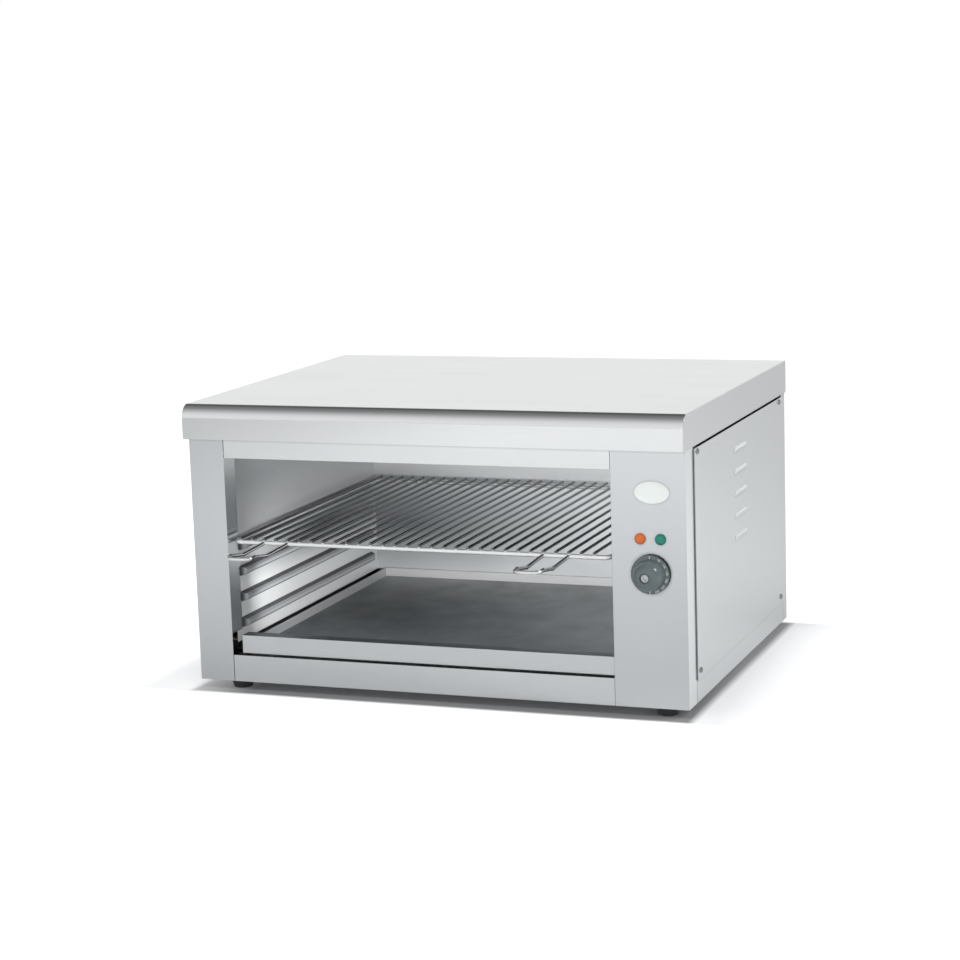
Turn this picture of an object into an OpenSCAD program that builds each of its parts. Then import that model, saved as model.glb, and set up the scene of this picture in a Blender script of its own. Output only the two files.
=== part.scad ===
// Counter-top cheese melter: a folded sheet-metal cabinet with an open chamber,
// a wire rack on guides, a crumb tray and one thermostat.
// X runs across the front, Y from the front to the rear, Z up from the counter.

/* [Cabinet] */
// Width across the two front uprights
body_w = 600; // [580:1:640]
// Depth from the front uprights to the rear of the cover
body_d = 460; // [455:1:500]
// Height from the base to the top of the cover
body_h = 330; // [328:1:345]
// Thickness of the sheet metal
sheet_t = 1.2; // [1:0.1:1.3]
// Width of the left upright's face
post_w = 43.5; // [40:0.5:46]
// Width of the control panel's face
panel_w = 85.5; // [84:0.5:92]
// Height of the bottom rail
bottom_rail_h = 31.5; // [28:0.5:31.5]
// Height of the opening's top edge above the base
opening_top = 267; // [262:1:272]
// Height of the jambs' lower ends above the base
jamb_bottom = 57; // [56:0.5:58]

/* [Cover] */
// How far the cover stands in front of the uprights
cover_overhang = 12; // [10:1:14]
// Outside radius of the cover's front fold
cover_fold_r = 15; // [12:1:18]
// Height of the cover's front lip and side flanges
cover_lip = 40; // [38:1:42]

/* [Side panels] */
// Height of the base strip under each side panel
base_strip_h = 25; // [22:1:28]
// Width of the front return beside each side panel
front_return = 31; // [29:1:33]
// Width of the rear return beside each side panel
rear_return = 20; // [18:1:22]
// Number of louvres
louvre_count = 5; // [1:1:5]
// Distance between louvres
louvre_pitch = 26; // [24:1:28]
// Length of a louvre
louvre_len = 66; // [50:1:80]

/* [Chamber] */
// Height of the walls' lower edge above the base
wall_bottom = 42.5; // [42:0.5:43.5]
// Height of the ceiling above the base
ceiling_z = 302; // [298:1:304]
// Distance from the front uprights to the back wall
chamber_d = 445; // [440:1:445]
// Number of guides on each wall
guide_count = 4; // [1:1:4]
// Distance between guides
guide_pitch = 31; // [28:1:32]
// Height of a guide
guide_h = 12; // [10:1:13]
// How far a guide stands out from the wall
guide_out = 8; // [7:0.5:8.5]
// Height of the lowest guide's underside above the base
guide_first = 58; // [57.5:0.5:60]

/* [Rack] */
// Diameter of the rack's frame rod
rod_d = 5.5; // [5:0.5:6]
// Diameter of the rack's cross wires
wire_d = 3.5; // [3:0.1:4]
// Number of cross wires
wire_count = 30; // [10:1:30]
// Distance between cross wires
wire_pitch = 15; // [14:0.5:15]
// Depth of the rack
rack_d = 424; // [400:1:426]
// How far the handle loops reach in front of the uprights
handle_reach = 96; // [80:1:100]

/* [Crumb tray] */
// Height of the tray's front lip
tray_lip_h = 21.2; // [20:0.1:21.2]
// Depth of the lip's folded top
tray_lip_d = 17; // [14:1:18]
// Height of the tray's side and rear walls above its underside
tray_wall_h = 12; // [10:1:13]
// Thickness of the tray's sheet
tray_t = 1; // [0.8:0.1:1.2]

/* [Controls] */
// Diameter of the knob's skirt
knob_skirt_d = 44; // [42:1:48]
// Height of the knob's axis above the base
knob_z = 152; // [145:1:155]
// Diameter of a lamp lens
lamp_d = 12.5; // [11:0.5:14]
// Height of the lamps above the base
lamp_z = 191; // [188:0.5:193]
// Distance between the lamps
lamp_gap = 23.2; // [20:0.1:26]
// Width of the oval plate
badge_w = 40; // [36:1:44]
// Height of the oval plate
badge_h = 25; // [22:1:28]

/* [Heating elements] */
// Outside diameter of the element tube
element_d = 8.5; // [8:0.1:9]
// Distance between the two legs of one element
element_span = 50; // [44:1:54]
// Height of the elements above the base
element_z = 288; // [286:1:289]

/* [Feet] */
// Height of the feet
foot_h = 10; // [8:0.5:12]
// Diameter at the top of a foot
foot_top_d = 28; // [26:1:30]
// Diameter at the bottom of a foot
foot_bottom_d = 22; // [20:1:24]

/* [Hidden] */
$fn = 64;

eps = 0.01;
touch_gap = 0.3;            // clearance between parts that must not bind

// Cabinet
half_w = body_w / 2;
t = sheet_t;
under_cover = body_h - t - 2 * touch_gap;   // top of what stands under the cover
left_jamb = -half_w + post_w;               // left edge of the opening
right_jamb = half_w - panel_w;              // right edge of the opening
jamb_d = 28;
rail_flange_d = 20;
bottom_flange_d = 16;
rail_seam = 0.8;                            // gap between a rail's face and the left upright
return_lap = 20;                            // how far the returns run on under the side panels
panel_seam = 1.3;
panel_in = half_w + touch_gap;              // inner face of a side panel
panel_face = panel_in + t;                  // outer face of a side panel
panel_front = front_return + panel_seam;
panel_rear = body_d - rear_return - 1;
panel_bottom = base_strip_h + 1.2;
panel_top = body_h - cover_lip - 3;
panel_fold = 8;
lap_front = front_return + return_lap + 1;  // clear stretch between the returns' laps
lap_rear = panel_rear - return_lap - 1;
louvre_y = 230;
louvre_first = 151.5;
louvre_zs = [for (i = [0 : louvre_count - 1]) louvre_first + i * louvre_pitch];
louvre_r = 9;                               // radius of a hood's dome
louvre_set = 7.3;                           // how far a hood's axis lies inside the panel's face
louvre_slot_h = 4;
rear_sheet_y = body_d - t - touch_gap - t;  // front face of the rear panel's sheet
base_rear_y = rear_sheet_y - t - 0.2;
base_rear_h = 18;
base_lap = 11;                              // how far the base strip runs up under a side panel
vent_count = 6;
vent_pitch = 14;
vent_x = 226;
vent_w = 48;
vent_h = 4;
vent_z = 150;

// Cover
flange_bottom = body_h - cover_lip;
cover_half_w = half_w + touch_gap + t;
lip_hem = 10;
rear_flange_h = 20;

// Screws: radius of the shank, of its hole in the outer sheet and in the inner one
screw_r = 2;
outer_hole_r = screw_r + 0.2;
inner_hole_r = screw_r + 0.05;
screw_len = 7;
screw_head_r = 3.3;
screw_head_h = 1.6;
side_screw_ys = [panel_front + 11.5, panel_rear - 16.5];
side_screw_zs = [panel_bottom + 9, panel_top - 4.5];
cover_screw_xs = [-250, 0, 250];
cover_screw_z = body_h - 11;
rear_screw_xs = [-260, -90, 90, 276];
rear_screw_z = 10;

// Whole object: the handles are its front, the cable gland its rear
gland_reach = 18;
y_mid = (body_d + gland_reach - handle_reach) / 2;

// Chamber
wall_left = left_jamb - 2;                  // inner face of the left wall
wall_right = right_jamb + 0.5;              // inner face of the right wall
wall_front = 20;
wall_flange = 17;
guide_front = 30;
guide_rear = chamber_d - 22;
guide_t = 1;
insulation_h = 18;

// Rack
rack_side_gap = 4;
rack_left = wall_left + rack_side_gap;
rack_right = wall_right - rack_side_gap + 0.5;
rack_front = 7;
rack_corner_r = 9;
rod_r = rod_d / 2;
wire_r = wire_d / 2;
top_guide_z = guide_first + (guide_count - 1) * guide_pitch + guide_h;
rod_z = top_guide_z + touch_gap + rod_r;
wire_z = rod_z + rod_r + wire_r;
wire_first = rack_left + rod_r + 8;
wire_over = 4;                              // overhang of the wires past the rear rod
handle_wire_r = 2.2;
handle_legs = [[2, 4], [wire_count - 5, wire_count - 3]];   // wires that each loop lines up with
handle_bend_r = 11;
handle_kink_y = -47;                        // where a leg turns up again
handle_drop = 2.3;                          // how far it has come down by then
handle_lift = 2.5;                          // height of the loop's end above the front rod
handle_level = 5;                           // length of the level piece behind the loop's corners

// Crumb tray
tray_left = left_jamb + 11;
tray_right = wall_right - 1;
tray_bottom = 33;
tray_front = 4;
tray_back = 440;
tray_lip_z = 55;
tray_ledge_z = tray_bottom - touch_gap;

// Controls
knob_x = half_w - 41;
thermostat_screw_dxs = [-14, 14];
shaft_r = 3;
shaft_fit = 0.05;
shaft_front = 18;
shaft_flat = 1.5;                           // depth of the flat on the shaft's front end
skirt_back = 2;
skirt_t = 3.5;
knob_tip = 26;
knob_web = 6;                               // thickness of the knob in front of its bore
knob_bore_r = shaft_r + 1.2;
dome_r = 17.2;
crown_h = 14;                               // height of the dome's rounded part
cap_r = 4.2;
cap_recess_r = 5.6;
cap_recess = 3;
cap_crown_r = 12.6;
cap_slot_w = 1.2;
cap_slot_d = 1.6;
cap_slot_turn = 35;
lens_neck_r = 4.8;
lens_dome_r = 8.2;
badge_z = 243;
badge_x = knob_x + 2.5;
badge_t = 0.8;
body_back = 32;                             // rear face of the thermostat body
strap_half = 20;                            // half width of its mounting strap
contact_d = 6;                              // depth of its contact carrier

// Elements
element_r = element_d / 2;
element_ys = [95, 230, 365];
leg_ys = [for (y = element_ys, s = [-1, 1]) y + s * element_span / 2];
element_left = wall_left + 24;
element_end = wall_right + 19;
pin_end = element_end + 16;
hanger_xs = [-150, 60];
hanger_w = 12;
bulb_y = chamber_d - 17;
bulb_z = 262;
bulb_r = 3;
bulb_left = 60;
bulb_right = 150;
clip_xs = [bulb_left + 20, bulb_right - 20];
capillary_r = 1;
capillary_x = knob_x + 9;
capillary_low_z = knob_z - 7;

// Gland and terminals
gland_x = half_w - 50;
gland_z = 52;
gland_bore_r = 5;
gland_tube_r = 8;
gland_collar = 6;
gland_nut_h = 5;
block_x = half_w - 64;
block_y = 372;
block_d = 22;
block_h = 18;
way_pitch = 12;
way_xs = [for (i = [0 : 2]) block_x + way_pitch * (i + 0.5)];
way_z = 7;                                  // height of the wire entries above the base sheet
stud_x = half_w - 22;
stud_y = 330;

// Feet: the left pair stands further in than the right pair
foot_xs = [-half_w + 46, half_w - 30];
foot_ys = [18, body_d - 22];
foot_screw_r = 2.5;
foot_recess = 4;
foot_recess_r = 5;
foot_head_r = 4.4;

// ---- helpers ----

// A block between two opposite corners
module slab(low, high) {
    translate(low) cube(high - low);
}

// Puts a module drawn from the front face and the base into the object's own frame
module placed() {
    translate([0, -y_mid, foot_h]) children();
}

// A cylinder along Y from y0 to y1
module rod_y(x, y0, y1, z, r) {
    translate([x, y0, z]) rotate([-90, 0, 0]) cylinder(h = y1 - y0, r = r);
}

// A cylinder along X from x0 to x1
module rod_x(x0, x1, y, z, r) {
    translate([x0, y, z]) rotate([0, 90, 0]) cylinder(h = x1 - x0, r = r);
}

// A cylinder along Z from z0 to z1
module rod_z(x, y, z0, z1, r) {
    translate([x, y, z0]) cylinder(h = z1 - z0, r = r);
}

// A round rod through a list of points, with a slightly fuller ball at every corner
module bent_rod(points, r) {
    for (i = [0 : len(points) - 2]) {
        step = points[i + 1] - points[i];
        long = norm(step);
        translate(points[i])
            rotate([0, acos(step[2] / long), atan2(step[1], step[0])])
                cylinder(h = long, r = r);
        if (i > 0) translate(points[i]) sphere(r = r * 1.12);
    }
}

// An eight-sided cable through a list of points; its runs overlap at every corner
module cable(points, r) {
    last = len(points) - 2;
    for (i = [0 : last]) {
        step = points[i + 1] - points[i];
        long = norm(step);
        before = i > 0 ? r * 0.8 : 0;
        after = i < last ? r * 0.8 : 0;
        translate(points[i]) rotate([0, acos(step[2] / long), atan2(step[1], step[0])])
            translate([0, 0, -before]) cylinder(h = long + before + after, r = r, $fn = 8);
    }
}

// A ring segment of round rod: centre, bend radius, rod radius, start angle, about Z
module rod_bend(centre, bend_r, r, start, sweep = 90) {
    translate(centre) rotate([0, 0, start])
        rotate_extrude(angle = sweep) translate([bend_r, 0]) circle(r = r);
}

// A pan-head screw along +Z with its head's underside at z = 0
module pan_screw(r = screw_r, length = screw_len, head_r = screw_head_r, head_h = screw_head_h) {
    translate([0, 0, -length]) cylinder(h = length, r = r);
    difference() {
        cylinder(h = head_h, r1 = head_r, r2 = head_r * 0.8);
        translate([0, 0, head_h * 0.5]) for (a = [0, 90]) rotate([0, 0, a])
            translate([-head_r * 0.5, -0.4, 0]) cube([head_r, 0.8, head_h]);
    }
}

// ---- cabinet ----

// Side outline of the cover, taken in by a given amount, in the Y-Z plane
module cover_outline(inset) {
    front = -cover_overhang + inset;
    rear = body_d - inset;
    top = body_h - inset;
    r = cover_fold_r - inset;
    difference() {
        translate([front, flange_bottom]) square([rear - front, top - flange_bottom]);
        translate([front - eps, top - r]) square([r + eps, r + eps]);
    }
    intersection() {
        translate([front + r, top - r]) circle(r = r);
        translate([front - eps, top - r - eps]) square([r + 2 * eps, r + 2 * eps]);
    }
}

// Extrudes an outline of the Y-Z plane along X
module along_x(x0, x1) {
    translate([x0, 0, 0]) rotate([90, 0, 90]) linear_extrude(x1 - x0) children();
}

module top_cover() color("gainsboro") placed() {
    difference() {
        along_x(-cover_half_w, cover_half_w) cover_outline(0);
        along_x(-cover_half_w + t, cover_half_w - t) cover_outline(t);
        slab([-cover_half_w + t, -cover_overhang + t, flange_bottom - 1],
             [cover_half_w - t, body_d - t, flange_bottom + 1]);
        slab([-cover_half_w + t, body_d - t - eps, flange_bottom - 1],
             [cover_half_w - t, body_d + 1, body_h - rear_flange_h]);
        for (x = cover_screw_xs) rod_y(x, body_d - 2 * t, body_d + 1, cover_screw_z, outer_hole_r);
    }
    slab([-cover_half_w, -cover_overhang, flange_bottom],
         [cover_half_w, -cover_overhang + lip_hem, flange_bottom + t]);
}

// The return of an upright round the cabinet's corner; it runs on under the side panel.
// side is -1 for the left upright and +1 for the right
module outer_return(side) {
    mirror([side < 0 ? 1 : 0, 0, 0]) difference() {
        union() {
            slab([half_w - t, 0, 0], [half_w, front_return, under_cover]);
            slab([half_w - t, 0, panel_bottom], [half_w, front_return + return_lap, panel_top]);
        }
        for (z = side_screw_zs)
            rod_x(half_w - 2 * t, half_w + t, side_screw_ys[0], z, inner_hole_r);
    }
}

module left_post() color("silver") placed() {
    slab([-half_w, 0, 0], [left_jamb, t, under_cover]);
    slab([left_jamb - t, 0, jamb_bottom], [left_jamb, jamb_d, under_cover]);
    outer_return(-1);
}

module control_panel() color("silver") placed() {
    difference() {
        slab([right_jamb, 0, 0], [half_w, t, under_cover]);
        rod_y(knob_x, -1, t + 1, knob_z, 5);
        for (dx = [-lamp_gap / 2, lamp_gap / 2])
            rod_y(knob_x + dx, -1, t + 1, lamp_z, lens_neck_r + 0.2);
        for (dx = thermostat_screw_dxs) rod_y(knob_x + dx, -1, t + 1, knob_z, inner_hole_r);
    }
    slab([right_jamb, 0, jamb_bottom], [right_jamb + t, jamb_d, under_cover]);
    outer_return(1);
}

// A rail from z0 to z1 with a flange towards the rear at flange_z; only the flange meets the jambs
module rail(z0, z1, flange_z, flange_d) {
    slab([left_jamb + rail_seam, 0, z0], [right_jamb - rail_seam / 2, t, z1]);
    slab([left_jamb + rail_seam, 0, flange_z],
         [right_jamb - rail_seam / 2, flange_d, flange_z + t]);
    slab([left_jamb, t, flange_z], [right_jamb, flange_d, flange_z + t]);
}

module top_rail() color("gainsboro") placed()
    rail(opening_top, under_cover, opening_top, rail_flange_d);

module bottom_rail() color("silver") placed()
    rail(0, bottom_rail_h, bottom_rail_h - t, bottom_flange_d);

module base_pan() color("silver") placed() {
    floor_half = half_w - t;
    difference() {
        union() {
            slab([-floor_half, t, 0], [floor_half, base_rear_y, t]);
            slab([-half_w, panel_front, 0], [half_w, panel_rear, t]);
            for (s = [-1, 1]) mirror([s < 0 ? 1 : 0, 0, 0]) {
                slab([half_w - t, panel_front, 0], [half_w, panel_rear, base_strip_h]);
                slab([half_w - t, lap_front, 0], [half_w, lap_rear, base_strip_h + base_lap]);
            }
            slab([-floor_half + 8, base_rear_y - t, 0],
                 [floor_half - 8, base_rear_y, base_rear_h]);
        }
        for (x = foot_xs, y = foot_ys) rod_z(x, y, -1, t + 1, foot_screw_r + 0.1);
        rod_z(stud_x, stud_y, -1, t + 1, 2.1);
        for (x = rear_screw_xs) rod_y(x, base_rear_y - 5, base_rear_y + 1, rear_screw_z, inner_hole_r);
    }
}

// One louvre hood: the upper half of a long rounded dome, open underneath
module louvre_dome(skin) {
    half_len = louvre_len / 2 - louvre_r;
    axis_x = panel_face - louvre_set;
    rod_y(axis_x, -half_len, half_len, 0, louvre_r - skin);
    for (y = [-half_len, half_len]) translate([axis_x, y, 0]) sphere(r = louvre_r - skin);
}

module louvre_hood() intersection() {
    difference() {
        louvre_dome(0);
        louvre_dome(1);
    }
    slab([panel_in, -louvre_len, 0], [panel_face + louvre_r, louvre_len, louvre_r]);
}

// A side panel on the +X side: it lies over the returns, and its upper edge is folded inwards
module side_panel() {
    slot = louvre_len / 2 - louvre_set;
    difference() {
        slab([panel_in, panel_front, panel_bottom], [panel_face, panel_rear, panel_top]);
        for (y = side_screw_ys, z = side_screw_zs)
            rod_x(panel_in - t, panel_face + t, y, z, outer_hole_r);
        for (z = louvre_zs) slab([panel_in - t, louvre_y - slot, z],
                                 [panel_face + t, louvre_y + slot, z + louvre_slot_h]);
    }
    for (z = louvre_zs) translate([0, louvre_y, z]) louvre_hood();
    slab([half_w - panel_fold, lap_front + 1, panel_top - t],
         [panel_in + eps, lap_rear - 1, panel_top]);
}

module left_side_panel() color("silver") placed() mirror([1, 0, 0]) side_panel();

module right_side_panel() color("silver") placed() side_panel();

module rear_panel() color("silver") placed() {
    y0 = rear_sheet_y;
    difference() {
        slab([-half_w, y0, 0], [half_w, y0 + t, under_cover]);
        rod_y(gland_x, y0 - 1, y0 + t + 1, gland_z, gland_tube_r + 0.2);
        for (x = rear_screw_xs) rod_y(x, y0 - 1, y0 + t + 1, rear_screw_z, outer_hole_r);
        for (x = cover_screw_xs) rod_y(x, y0 - 1, y0 + t + 1, cover_screw_z, inner_hole_r);
        for (i = [0 : vent_count - 1])
            slab([vent_x, y0 - 1, vent_z + i * vent_pitch],
                 [vent_x + vent_w, y0 + t + 1, vent_z + i * vent_pitch + vent_h]);
    }
    for (s = [-1, 1]) mirror([s < 0 ? 1 : 0, 0, 0]) {
        difference() {
            union() {
                slab([half_w - t, panel_rear + 1, 0], [half_w, y0 + t, under_cover]);
                slab([half_w - t, panel_rear - return_lap, panel_bottom],
                     [half_w, y0 + t, panel_top]);
            }
            for (z = side_screw_zs)
                rod_x(half_w - 2 * t, half_w + t, side_screw_ys[1], z, inner_hole_r);
        }
    }
}

// ---- chamber ----

module left_wall() color("lightgray") placed() {
    slab([wall_left - t, wall_front, wall_bottom], [wall_left, chamber_d + t, ceiling_z + t]);
    slab([wall_left - wall_flange, jamb_d + 1, wall_bottom],
         [wall_left, chamber_d + t, wall_bottom + t]);
}

module right_wall() color("lightgray") placed() {
    difference() {
        slab([wall_right, jamb_d + 1, wall_bottom],
             [wall_right + t, chamber_d + t, ceiling_z + t]);
        for (y = leg_ys) rod_x(wall_right - 1, wall_right + 3, y, element_z, 6.1);
        rod_x(wall_right - 1, wall_right + 3, bulb_y, bulb_z, 2.5);
    }
    slab([wall_right, jamb_d + 1, wall_bottom],
         [wall_right + wall_flange, chamber_d + t, wall_bottom + t]);
}

module back_wall() color("lightgray") placed()
    slab([wall_left, chamber_d, wall_bottom], [wall_right, chamber_d + t, ceiling_z]);

module ceiling() color("lightgray") placed() {
    slab([wall_left, jamb_d + 2, ceiling_z], [wall_right, chamber_d + t, ceiling_z + t]);
    slab([wall_left, jamb_d + 2, opening_top + t + touch_gap],
         [wall_right, jamb_d + 2 + t, ceiling_z + t]);
}

module insulation_pad() color("cornsilk") placed()
    slab([wall_left + 4, jamb_d + 6, ceiling_z + t],
         [wall_right - 4, chamber_d - 6, ceiling_z + t + insulation_h]);

// Section of one guide, standing out of the wall along +X
module guide_section() polygon([[0, 0], [guide_out - 2, 1.5], [guide_out, 3.5], [guide_out, 7],
                                [guide_out - 1.5, guide_h - 2], [0, guide_h]]);

// The section of its hollow, open towards the wall
module guide_hollow() {
    skin = guide_out - guide_t;
    polygon([[-1, guide_t + 0.3], [guide_out - 2.4, 2.6], [skin, 4], [skin, 6.6],
             [guide_out - 2.2, guide_h - 3], [-1, guide_h - guide_t - 0.6]]);
}

// Carries a section along the wall and rounds its two ends in plan; inset makes room for the skin
module guide_run(inset) {
    end_r = guide_out;
    intersection() {
        translate([0, guide_rear - inset, 0]) rotate([90, 0, 0])
            linear_extrude(guide_rear - guide_front - 2 * inset) children();
        union() {
            slab([-1, guide_front + end_r, -1], [guide_out + 1, guide_rear - end_r, guide_h + 1]);
            for (y = [guide_front + end_r, guide_rear - end_r])
                rod_z(0, y, -1, guide_h + 1, end_r - inset);
        }
    }
}

// The guides of one wall
module guide_set() for (i = [0 : guide_count - 1])
    translate([0, 0, guide_first + i * guide_pitch]) difference() {
        guide_run(0) guide_section();
        guide_run(guide_t) guide_hollow();
    }

module left_guides() color("lightgray") placed() translate([wall_left, 0, 0]) guide_set();

module right_guides() color("lightgray") placed()
    translate([wall_right, 0, 0]) mirror([1, 0, 0]) guide_set();

// A folded runner: a foot on the base, a web up to the wall's flange, a ledge for the tray.
// web_x is the web's outer face, ledge_x the ledge's free edge
module tray_runner(web_x, ledge_x, foot_x) {
    y0 = jamb_d + 2;
    y1 = chamber_d - 5;
    side = ledge_x > web_x ? 1 : -1;
    slab([min(web_x, web_x + side * t), y0, t], [max(web_x, web_x + side * t), y1, wall_bottom]);
    slab([min(web_x, ledge_x), y0, tray_ledge_z - t], [max(web_x, ledge_x), y1, tray_ledge_z]);
    slab([min(web_x, foot_x), y0, t], [max(web_x, foot_x), y1, 2 * t]);
}

module left_tray_runner() color("silver") placed()
    tray_runner(wall_left - wall_flange + 2, tray_left + 10, wall_left - 1);

module right_tray_runner() color("silver") placed()
    tray_runner(wall_right + wall_flange - 2, tray_right - 10, wall_right);

// ---- heating ----

module heating_elements() color("dimgray") placed() for (y = element_ys) {
    bend_x = element_left + element_span / 2;
    for (s = [-1, 1]) rod_x(bend_x, element_end, y + s * element_span / 2, element_z, element_r);
    rod_bend([bend_x, y, element_z], element_span / 2, element_r, 90, 180);
}

// One hanger: a stirrup that carries both legs of an element from the ceiling
module hanger(x, y) {
    low = element_z - element_r - 0.1;
    half = element_span / 2 + element_r + 3;
    side = hanger_w / 2;
    slab([x - side, y - half, low - t], [x + side, y + half, low]);
    for (edge = [y - half, y + half - t])
        slab([x - side, edge, low - t], [x + side, edge + t, ceiling_z]);
}

module element_hangers() color("gray") placed()
    for (x = hanger_xs, y = element_ys) hanger(x, y);

module element_bushes() color("goldenrod") placed() for (y = leg_ys) difference() {
    union() {
        rod_x(wall_right - 3, wall_right, y, element_z, 9);
        rod_x(wall_right - eps, wall_right + 10, y, element_z, 6);
        translate([wall_right + t, y, element_z]) rotate([0, 90, 0])
            cylinder(h = 5, r = 9.5, $fn = 6);
    }
    rod_x(wall_right - 4, wall_right + 11, y, element_z, element_r);
}

module element_pins() color("lightgray") placed() for (y = leg_ys)
    rod_x(element_end, pin_end, y, element_z, 2);

module terminal_beads() color("ivory") placed() for (y = leg_ys) difference() {
    rod_x(element_end, element_end + 7, y, element_z, 5);
    rod_x(element_end - 1, element_end + 8, y, element_z, 2);
}

// ---- controls ----

module thermostat_body() color("beige") placed() difference() {
    union() {
        slab([knob_x - strap_half, t, knob_z - 14], [knob_x + strap_half, 2 * t, knob_z + 14]);
        rod_y(knob_x, 2 * t, body_back - contact_d, knob_z, strap_half - 1);
        slab([knob_x - 16, body_back - contact_d, knob_z - 13],
             [knob_x + 16, body_back, knob_z + 13]);
    }
    rod_y(knob_x, 0, 14, knob_z, shaft_r + shaft_fit);
    for (dx = thermostat_screw_dxs) rod_y(knob_x + dx, 0, 9, knob_z, 2);
}

module thermostat_shaft() color("lightgray") placed() difference() {
    rod_y(knob_x, -shaft_front, 13, knob_z, shaft_r);
    slab([knob_x - 5, -shaft_front - 1, knob_z + shaft_r - shaft_flat], [knob_x + 5, -8, knob_z + 5]);
}

module thermostat_screws() color("lightgray") placed()
    for (dx = thermostat_screw_dxs) translate([knob_x + dx, 0, knob_z]) rotate([90, 0, 0])
        pan_screw(length = 8, head_r = 2.6, head_h = 1.2);

// The half profile of the knob about its axis; height runs away from the panel
module knob_profile() {
    side_top = knob_tip - crown_h;
    skirt_front = skirt_back + skirt_t;
    crown_d = dome_r - 1.2 - cap_recess_r;
    polygon(concat(
        [[knob_bore_r, skirt_back], [knob_skirt_d / 2, skirt_back],
         [knob_skirt_d / 2, skirt_front - 1], [knob_skirt_d / 2 - 1, skirt_front],
         [dome_r, skirt_front]],
        [for (a = [0 : 10 : 80])
            [cap_recess_r + crown_d * cos(a), side_top + crown_h * sin(a)]],
        [[cap_recess_r, knob_tip], [cap_recess_r, knob_tip - cap_recess], [0, knob_tip - cap_recess],
         [0, knob_tip - knob_web], [knob_bore_r, knob_tip - knob_web]]));
}

module knob() color("dimgray") placed() translate([knob_x, 0, knob_z]) rotate([90, 0, 0]) {
    rotate_extrude() knob_profile();
    difference() {
        translate([0, 0, skirt_back + 6])
            cylinder(h = knob_tip - knob_web - skirt_back - 6, r = knob_bore_r + 0.1);
        intersection() {
            cylinder(h = shaft_front + eps, r = shaft_r);
            translate([-shaft_r, -shaft_r, 0])
                cube([2 * shaft_r, 2 * shaft_r - shaft_flat, shaft_front + 1]);
        }
    }
}

module knob_cap() color("silver") placed() translate([knob_x, 0, knob_z]) rotate([90, 0, 0])
    difference() {
        intersection() {
            translate([0, 0, knob_tip - cap_recess]) cylinder(h = cap_recess, r = cap_r);
            translate([0, 0, knob_tip - cap_crown_r - 0.4]) sphere(r = cap_crown_r);
        }
        rotate([0, 0, cap_slot_turn]) slab([-cap_slot_w / 2, -cap_r - 1, knob_tip - cap_slot_d],
                                           [cap_slot_w / 2, cap_r + 1, knob_tip]);
    }

// A lamp lens: a low dome in front of the panel and a neck through it
module lens() {
    rod_y(0, 0, 6, 0, lens_neck_r);
    intersection() {
        translate([0, 5.2, 0]) sphere(r = lens_dome_r);
        rod_y(0, -4, 0, 0, lamp_d / 2);
    }
}

module amber_lens() color("darkorange") placed()
    translate([knob_x - lamp_gap / 2, 0, lamp_z]) lens();

module green_lens() color("seagreen") placed()
    translate([knob_x + lamp_gap / 2, 0, lamp_z]) lens();

module lamp_bodies() color("whitesmoke") placed()
    for (s = [-1, 1]) translate([knob_x + s * lamp_gap / 2, 0, lamp_z]) difference() {
        union() {
            rod_y(0, t, 4, 0, 8);
            rod_y(0, 4 - eps, 24, 0, 6.2);
        }
        rod_y(0, 0, 6.5, 0, lens_neck_r + 0.05);
    }

module badge_plate() color("aliceblue") placed() translate([badge_x, 0, badge_z])
    rotate([90, 0, 0]) linear_extrude(badge_t) polygon(
        [for (a = [0 : 6 : 354]) [badge_w / 2 * cos(a), badge_h / 2 * sin(a)]]);

// ---- sensing and wiring ----

module sensing_bulb() color("peru") placed()
    rod_x(bulb_left, bulb_right, bulb_y, bulb_z, bulb_r);

// The fine tube from the bulb through the right wall and down to the thermostat's body
module capillary_tube() color("peru") placed()
    bent_rod([[bulb_right, bulb_y, bulb_z], [capillary_x, bulb_y, bulb_z],
              [capillary_x, bulb_y, capillary_low_z], [capillary_x, body_back, capillary_low_z]],
             capillary_r);

module bulb_clips() color("gray") placed() for (x = clip_xs) difference() {
    union() {
        rod_x(x - 3, x + 3, bulb_y, bulb_z, bulb_r + 1.2);
        slab([x - 3, bulb_y, bulb_z - 1], [x + 3, chamber_d, bulb_z + 1]);
    }
    rod_x(x - 4, x + 4, bulb_y, bulb_z, bulb_r);
}

module terminal_block() color("ivory") placed() difference() {
    slab([block_x, block_y, t], [block_x + 3 * way_pitch, block_y + block_d, t + block_h]);
    for (x = way_xs) {
        rod_z(x, block_y + block_d / 2, t + 12, t + block_h + 1, 3);
        rod_y(x, block_y - 1, block_y + 6, t + way_z, 2.2);
    }
}

module earth_stud() color("goldenrod") placed() {
    rod_z(stud_x, stud_y, -3, t + 12, 2);
    rod_z(stud_x, stud_y, -3, 0, 4);
    translate([stud_x, stud_y, t]) cylinder(h = 3.2, r = 4.4, $fn = 6);
}

module cable_gland() color("dimgray") placed() difference() {
    union() {
        rod_y(gland_x, rear_sheet_y - 16, body_d + gland_reach, gland_z, gland_tube_r);
        translate([gland_x, rear_sheet_y + t, gland_z]) rotate([-90, 0, 0])
            cylinder(h = gland_collar, r = 14, $fn = 6);
        rod_y(gland_x, rear_sheet_y + t + gland_collar - eps, body_d + gland_reach - 3, gland_z, 12);
    }
    rod_y(gland_x, rear_sheet_y - 20, body_d + gland_reach + 1, gland_z, gland_bore_r);
}

module gland_nut() color("dimgray") placed() difference() {
    translate([gland_x, rear_sheet_y - gland_nut_h, gland_z]) rotate([-90, 0, 0])
        cylinder(h = gland_nut_h, r = 13, $fn = 6);
    rod_y(gland_x, rear_sheet_y - 6, rear_sheet_y + 1, gland_z, gland_tube_r);
}

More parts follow.
